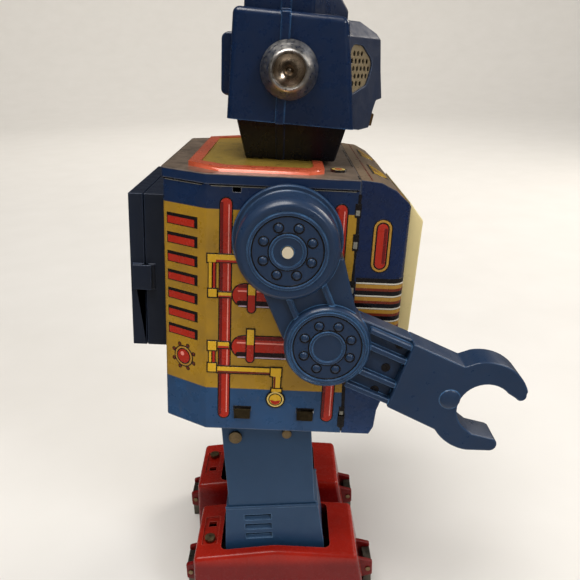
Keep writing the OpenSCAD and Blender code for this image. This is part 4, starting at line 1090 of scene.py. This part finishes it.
def grown(outline, g):
    """The outline, counter-clockwise, moved outwards by g."""
    out = []
    count = len(outline)
    for i in range(count):
        a, b, c = (Vector(outline[(i + k) % count]) for k in (-1, 0, 1))
        d0, d1 = (b - a).normalized(), (c - b).normalized()
        n0, n1 = Vector((d0.y, -d0.x)), Vector((d1.y, -d1.x))
        out.append(tuple(b + (n0 + n1) * (g / max(0.4, 1 + n0.dot(n1)))))
    return out


def pill(s0, s1, v0, v1, ends=(True, True), steps=8):
    """A bar with round ends along its longer side."""
    if s1 - s0 > v1 - v0:
        return [(x, y) for y, x in pill(v0, v1, s0, s1, ends, steps)][::-1]
    r, mid = (s1 - s0) / 2, (s0 + s1) / 2
    out = []
    for end, v, start in ((ends[0], v0 + r, 180), (ends[1], v1 - r, 0)):
        if end:
            out += arc((mid, v), r, start, start + 180, steps)
        else:
            corner = -1 if start else 1
            out += [(mid + corner * r, v + corner * r), (mid - corner * r, v + corner * r)]
    return out


INKS = {}


def ink_heights(layer):
    """Where a patch of ink starts and ends, out from the tin."""
    return -0.1, 0.02 + INK_STEP * layer


def on_wall(side, s, v, proud):
    p = wall(s, proud)
    return (side * p.x, -p.y, v)


def lay(color, rings_of):
    """Adds a solid of one ink on both sides of the robot, through the rings of a side."""
    bm = INKS.setdefault(color, bmesh.new())
    for side in (-1, 1):
        merge(bm, loft(rings_of(side)))


def ink(color, outline, layer, place=on_wall):
    """A thin patch of ink on the tin. Higher layers lie on top."""
    lay(color, lambda side: [[place(side, s, v, h) for s, v in outline] for h in ink_heights(layer)])


def ribbon(color, marks, v0, v1, layer):
    """A level stripe that follows the tin round its corner through the marks."""
    low, high = ink_heights(layer)
    corners = ((v0, high), (v1, high), (v1, low), (v0, low))
    lay(color, lambda side: [[on_wall(side, s, v, h) for v, h in corners] for s in marks])


def lined(color, outline, layer, line=0.42, place=on_wall):
    """A patch with a black outline round it."""
    ink("black", grown(outline, line), layer, place)
    ink(color, outline, layer + 1, place)


def pipe(s0, s1, v0, v1):
    lined("red", pill(s0, s1, v0, v1), 0)
    ink("dark_red", pill(s0 + 0.1, s0 + 0.9, v0 + 1.2, v1 - 1.2), 2)
    ink("pink", pill(s1 - 1.05, s1 - 0.65, v0 + 2.2, v1 - 2.0), 3)


def capsule(s0, s1, v0, v1):
    """A red lamp cylinder lying forward, with its shading bands."""
    h = v1 - v0
    lined("red", pill(s0, s1, v0, v1, (True, False)), 4)
    ink("dark_red", pill(s0 + 1.6, s1, v1 - 0.16 * h, v1 - 0.02 * h, (True, False)), 6)
    ink("pink", pill(s0 + 1.7, s1, v1 - 0.34 * h, v1 - 0.27 * h), 6)
    ink("dark", pill(s0 + 1.4, s1, v0 + 0.05 * h, v0 + 0.26 * h, (True, False)), 6)
    ink("lilac", pill(s0 + 2.0, s1, v0 - 0.02 * h, v0 + 0.04 * h), 7)


# Each bar: its colour, then its ends along the tin, its heights, its layer and its outline's width.
BRACKETS = (
    ("yellow", 0.5, 3.1, 62.9, 65.6, 4, 0.42), ("yellow", 3.1, 11.0, 63.1, 65.6, 4, 0.42),
    ("yellow", 0.9, 1.9, 53.6, 62.7, 4, 0.3), ("red", 2.3, 3.1, 53.6, 62.7, 4, 0.3),
    ("yellow", 0.8, 3.6, 50.7, 53.5, 6, 0.42), ("yellow", 4.1, 8.5, 50.8, 52.4, 6, 0.42),
    ("yellow", 0.7, 3.6, 31.0, 34.4, 6, 0.42), ("yellow", 0.7, 3.6, 22.8, 26.0, 6, 0.42),
    ("yellow", 1.1, 1.9, 26.0, 31.0, 4, 0.3), ("red", 2.3, 3.1, 26.0, 31.0, 4, 0.3),
    ("yellow", 4.1, 8.0, 32.0, 34.2, 6, 0.42), ("yellow", 4.0, 22.7, 22.6, 24.9, 8, 0.42),
    ("yellow", 22.7, 26.4, 21.9, 25.1, 10, 0.42), ("yellow", 23.7, 26.2, 16.2, 21.9, 10, 0.42),
    ("yellow", 23.2, 26.7, 15.8, 17.0, 12, 0.42),
)
SHADING = (
    ("red", 3.3, 10.8, 63.0, 63.8, 6), ("red", 4.2, 8.4, 50.8, 51.3, 8), ("red", 4.2, 7.9, 32.0, 32.8, 8),
    ("brown", 4.1, 22.6, 22.6, 23.3, 10), ("brown", 23.8, 24.5, 16.3, 21.8, 12),
)


def framed_lamp(lamp, rims, place=on_wall):
    """A red lamp in a black, gold and black rim, each grown from the lamp by its own width."""
    for layer, (color, g) in enumerate(zip(("black", "gold", "black"), rims)):
        ink(color, grown(lamp, g), layer, place)
    ink("red", lamp, len(rims), place)


def side_prints():
    """Two upright pipes, two lamps lying forward, and the brackets and feed pipe that join them."""
    pipe(4.6, 8.2, 4.5, 84.4)
    pipe(41.4, 45.2, 4.6, 83.8)
    for v0, v1 in ((47.7, 55.6), (28.7, 36.7)):
        capsule(8.9, 40.5, v0, v1)
    for top, mid, low in ((55.6, 51.9, 45.6), (39.3, 33.6, 27.0)):
        lined("red", pill(14.1, 16.5, low, mid, (True, False)), 8)
        lined("yellow", rect(14.1, 16.5, mid, top), 8)
    for color, s0, s1, v0, v1, layer, line in BRACKETS:
        lined(color, rect(s0, s1, v0, v1), layer, line)
    for color, s0, s1, v0, v1, layer in SHADING:
        ink(color, rect(s0, s1, v0, v1), layer)
    lined("cream", disc(24.7, 12.8, 3.0), 12, 0.5)
    lined("yellow", disc(24.7, 12.8, 2.1), 14, 0.35)
    ink("red", [(22.8, 12.6), (23.5, 11.2), (24.7, 10.75), (25.9, 11.2), (26.6, 12.6), (24.7, 12.2)], 16)


def rear_corner_prints():
    for i in range(7):
        top = 77.2 - 6.63 * i
        ink("black", rect(-16.3, -3.5, top - 3.9, top), 0)
        ink("red", rect(-16.0, -4.8, top - 3.6, top - 1.15), 1)
    at = (-9.7, 25.9)
    for spot in arc(at, 4.7, 22.5, 337.5, 7):
        lined("brown", disc(*spot, 0.45, 12), 0, 0.35)
    lined("gold", disc(*at, 3.7), 2, 0.4)
    lined("red", disc(*at, 2.6), 4, 0.4)
    ink("pink", disc(at[0] - 0.5, at[1] + 0.9, 0.8, 14), 6)


def fascia_prints():
    framed_lamp(pill(55.4, 58.8, 63.1, 78.3), (1.55, 1.2, 0.45))
    ink("dark_red", pill(57.6, 58.6, 64.6, 76.8), 4)
    reach = CORNER_END + 12.0
    marks = [49.8, CORNER_START] + [CORNER_START + CORNER_R * TURN * k / 8 for k in range(1, 9)] + [reach]
    ribbon("black", marks, 32.0, 59.6, 0)
    for i in range(6):
        v = 58.0 - 4.45 * i
        ribbon("white", marks, v - 0.5, v, 1)
        ribbon("gold", marks, v - 1.95, v - 0.62, 1)
        ribbon("brown", marks, v - 2.9, v - 1.95, 1)


GAP_REAR, GAP_FRONT = 48.45, 49.25
TABS = ((80.5, 3.2), (69.5, 4.2), (54.0, 3.6), (24.0, 3.0), (7.5, 2.6))


def seams():
    """The uneven gap between wrap and fascia with bent tabs in it, and the gap under the lid: their black,
    also round the tabs, is painted shadow.
    """
    rng = random.Random(11)
    heights = [1.0 + 5.4 * k for k in range(17)]
    front = [(GAP_FRONT + rng.uniform(-0.2, 0.25), v) for v in heights]
    rear = [(GAP_REAR + rng.uniform(-0.45, 0.15), v) for v in heights]
    ink("black", rear[:1] + front + rear[:0:-1], 2)
    for v, h in TABS:
        ink("black", rect(47.6, 49.6, v - 0.7, v + h + 0.7), 3)
        ink("worn", rect(47.9, 49.2, v, v + h * 0.55), 4)
    # Painted shadow in the notch at the gap's foot.
    ink("black", pill(47.4, 49.9, 2.0, 9.0), 3)
    # Painted shadow in the gap under the lid, with a grey strip below it, and over the two chassis slots.
    for s0, s1 in ((-CHAMFER + 0.4, -0.9), (0.9, 48.4)):
        ink("black", rect(s0, s1, 88.25, 88.75), 2)
        ink("worn", rect(s0 + 0.6, s1 - 0.8, 88.0, 88.22), 2)
    for s in (13, 35.5):
        ink("black", rect(s - 3.2, s + 3.2, 8.6, 9.5), 2)


SLOPE_F, SLOPE_V, SLOPE = 61, 10, 0.325


def on_slope(side, across, v, proud):
    return (side * across, -(SLOPE_F + (v - SLOPE_V) * SLOPE) - proud, v)


def slope_prints():
    """A row of lamps on the part of the front that leans back below the screen."""
    for k in range(3):
        lamp = pill(4.5 + 9.5 * k, 8.0 + 9.5 * k, 13.5, 25.5)
        framed_lamp(lamp, (1.3, 1.0, 0.4), on_slope)


ROOF = [(-20, 92), (48.8, 92), (55.4, 91.4), (60.4, 89), (64.9, 85), (68.3, 80.6)]


def roof_v(f):
    """The roof's height at f: level, then bent down to the front."""
    for (f0, v0), (f1, v1) in zip(ROOF, ROOF[1:]):
        if f <= f1:
            return v0 + (v1 - v0) * (f - f0) / (f1 - f0)
    return ROOF[-1][1]


def on_roof(side, across, f, proud):
    return (side * across, -f, roof_v(f) + proud)


def leaf(color, middle, half, f0, f1, layer):
    """A D-shaped petal on the roof, in strips, so that it follows the bend: flat edge at f0."""
    steps = 12
    low, high = ink_heights(layer)

    def rows(side):
        out = []
        for k in range(steps + 1):
            t = 0.02 + 0.96 * k / steps
            reach = half * math.sqrt(1 - t * t)
            corners = ((-reach, high), (reach, high), (reach, low), (-reach, low))
            out.append([on_roof(side, middle + x, f0 + (f1 - f0) * t, h) for x, h in corners])
        return out
    lay(color, rows)


def roof_prints():
    leaf("black", 20, 9.8, 54.2, 61.8, 1)
    leaf("yellow", 20, 8.7, 55.0, 60.8, 3)
    leaf("gold", 20, 5.2, 55.3, 57.6, 5)
    leaf("red", 35, 5.6, 62.6, 67.4, 1)
    leaf("yellow", 35, 4.2, 63.1, 66.4, 3)
    ink("brown", rect(1, 44, 52.4, 52.9), 0, on_roof)
    lined("cream", disc(32, 42.5, 2.3), 28, 0.4, on_roof)
    ink("red", disc(32, 42.5, 1.3), 30, on_roof)
    ink("black", rect(1.0, 21, 48.0, 48.5), 0, on_roof)
    ink("black", rect(39, 45.2, 48.2, 48.7), 0, on_roof)


def lay_inks():
    side_prints()
    rear_corner_prints()
    fascia_prints()
    roof_prints()
    seams()
    slope_prints()
    for color, bm in INKS.items():
        piece("print_" + color, bm, *TORSO, "ink_" + color, "torso_litho", smooth_deg=20)


# ---- floor, light and camera ----


def emitter(name, place, aim, size, power, tint):
    light = bpy.data.lights.new(name, "AREA")
    light.shape = "DISK"
    light.size = size
    light.energy = power
    light.color = tint
    obj = new_object(name, light)
    obj.location = place
    obj.rotation_mode = "QUATERNION"
    obj.rotation_quaternion = (Vector(aim) - Vector(place)).to_track_quat("-Z", "Y")
    obj.visible_camera = False


FLOOR_FLAT, BACKDROP_R = 2.2, 1.4
DARK_FROM, DARK_TO = 40, 220


def floor_mesh():
    """Flat in the middle, then curved up into a backdrop all round, in metres."""
    bm = bmesh.new()
    profile = [(FLOOR_FLAT * k / 4, 0.0) for k in range(1, 5)]
    profile += arc((FLOOR_FLAT, BACKDROP_R), BACKDROP_R, -90, 0, 8)[1:]
    rings = [[bm.verts.new((x, y, z)) for x, y in disc(0, 0, r, 64)] for r, z in profile]
    middle = bm.verts.new((0, 0, 0))
    for i in range(64):
        j = (i + 1) % 64
        bm.faces.new((middle, rings[0][i], rings[0][j]))
        for a, b in zip(rings, rings[1:]):
            bm.faces.new((a[i], b[i], b[j], a[j]))
    mesh = bpy.data.meshes.new("floor")
    bm.to_mesh(mesh)
    bm.free()
    mesh.shade_smooth()
    return mesh


def stage():
    """A pale floor and backdrop, which glossy surfaces see darker further out."""
    floor = new_object("floor", floor_mesh())
    n = Nodes("floor_paint", 1000.0)
    ray = n.add("ShaderNodeLightPath")
    reach = n.add("ShaderNodeVectorMath", operation="LENGTH")
    n.link(n.place, reach.inputs[0])
    far = n.ramp(reach.outputs["Value"], DARK_FROM, DARK_TO)
    flagged = n.math("MULTIPLY", ray.outputs["Is Glossy Ray"], far)
    paint = n.mix(n.noise(60, 3), rgb(222, 220, 216), rgb(230, 228, 225))
    n.set(Base_Color=n.mix(flagged, paint, rgb(70, 66, 62)), Roughness=0.85)
    floor.data.materials.append(n.mat)


ROOM_LIGHT, ROOM_IN_GLOSS = 0.34, 0.05


def lights():
    """A dim even room, one soft key from above, two side lights, and two on the backdrop."""
    world = bpy.data.worlds.new("soft_room")
    bpy.context.scene.world = world
    world.use_nodes = True
    tree = world.node_tree
    background = tree.nodes["Background"]
    background.inputs["Color"].default_value = (1.0, 0.96, 0.9, 1.0)
    ray, strength = tree.nodes.new("ShaderNodeLightPath"), tree.nodes.new("ShaderNodeMapRange")
    tree.links.new(ray.outputs["Is Glossy Ray"], strength.inputs["Value"])
    strength.inputs["To Min"].default_value = ROOM_LIGHT
    strength.inputs["To Max"].default_value = ROOM_IN_GLOSS
    tree.links.new(strength.outputs["Result"], background.inputs["Strength"])
    middle = (0, 0, 0.14)
    rows = [
        ("overhead", (-0.35, 0.25, 1.5), middle, 0.9, 17, (1.0, 0.97, 0.93)),
        ("window", (-0.9, -0.9, 0.9), middle, 0.45, 6, (0.95, 0.97, 1.0)),
        ("rim", (0.6, -0.9, 0.7), middle, 0.6, 6, (1.0, 0.93, 0.84)),
        ("backdrop_right", (1.1, 0.2, 1.7), (3.2, 0.0, 0.7), 1.2, 30, (1.0, 0.95, 0.88)),
        ("backdrop_left", (-1.1, 0.2, 1.7), (-3.2, 0.0, 0.7), 1.2, 30, (1.0, 0.95, 0.88)),
    ]
    for row in rows:
        emitter(*row)


CAMERA_AT = (24.21, 128.29, 249.27)
CAMERA_YAW, CAMERA_PITCH, CAMERA_ROLL = 0.0188, 0.3493, 0.0494
LENS = 40.215


def camera():
    """The viewpoint in the torso's frame: forward, up, and out from the robot's right side."""
    def from_torso(forward, up, out):
        return Vector((-out, -forward, up))
    cy, sy = math.cos(CAMERA_YAW), math.sin(CAMERA_YAW)
    cp, sp = math.cos(CAMERA_PITCH), math.sin(CAMERA_PITCH)
    cr, sr = math.cos(CAMERA_ROLL), math.sin(CAMERA_ROLL)
    right = from_torso(cy, 0, sy)
    level = from_torso(sy, 0, -cy)
    rise = from_torso(0, 1, 0)
    ahead = level * cp - rise * sp
    top = rise * cp + level * sp
    turn = Matrix.Rotation(LEAN, 3, "X")
    columns = [turn @ (right * cr + top * sr), turn @ (top * cr - right * sr), turn @ -ahead]
    data = bpy.data.cameras.new("camera")
    data.lens = LENS
    data.sensor_width = 36.0
    data.clip_start = 0.01
    obj = new_object("camera", data)
    basis = Matrix(columns).transposed().to_4x4()
    obj.matrix_world = Matrix.Translation(UPPER @ from_torso(*CAMERA_AT)) @ basis
    bpy.context.scene.camera = obj


dress_cad_nodes()
plain_copies()
lid_panel()
head()
arms()
legs()
lay_inks()
stage()
lights()
camera()
bpy.context.scene.view_settings.view_transform = "Standard"
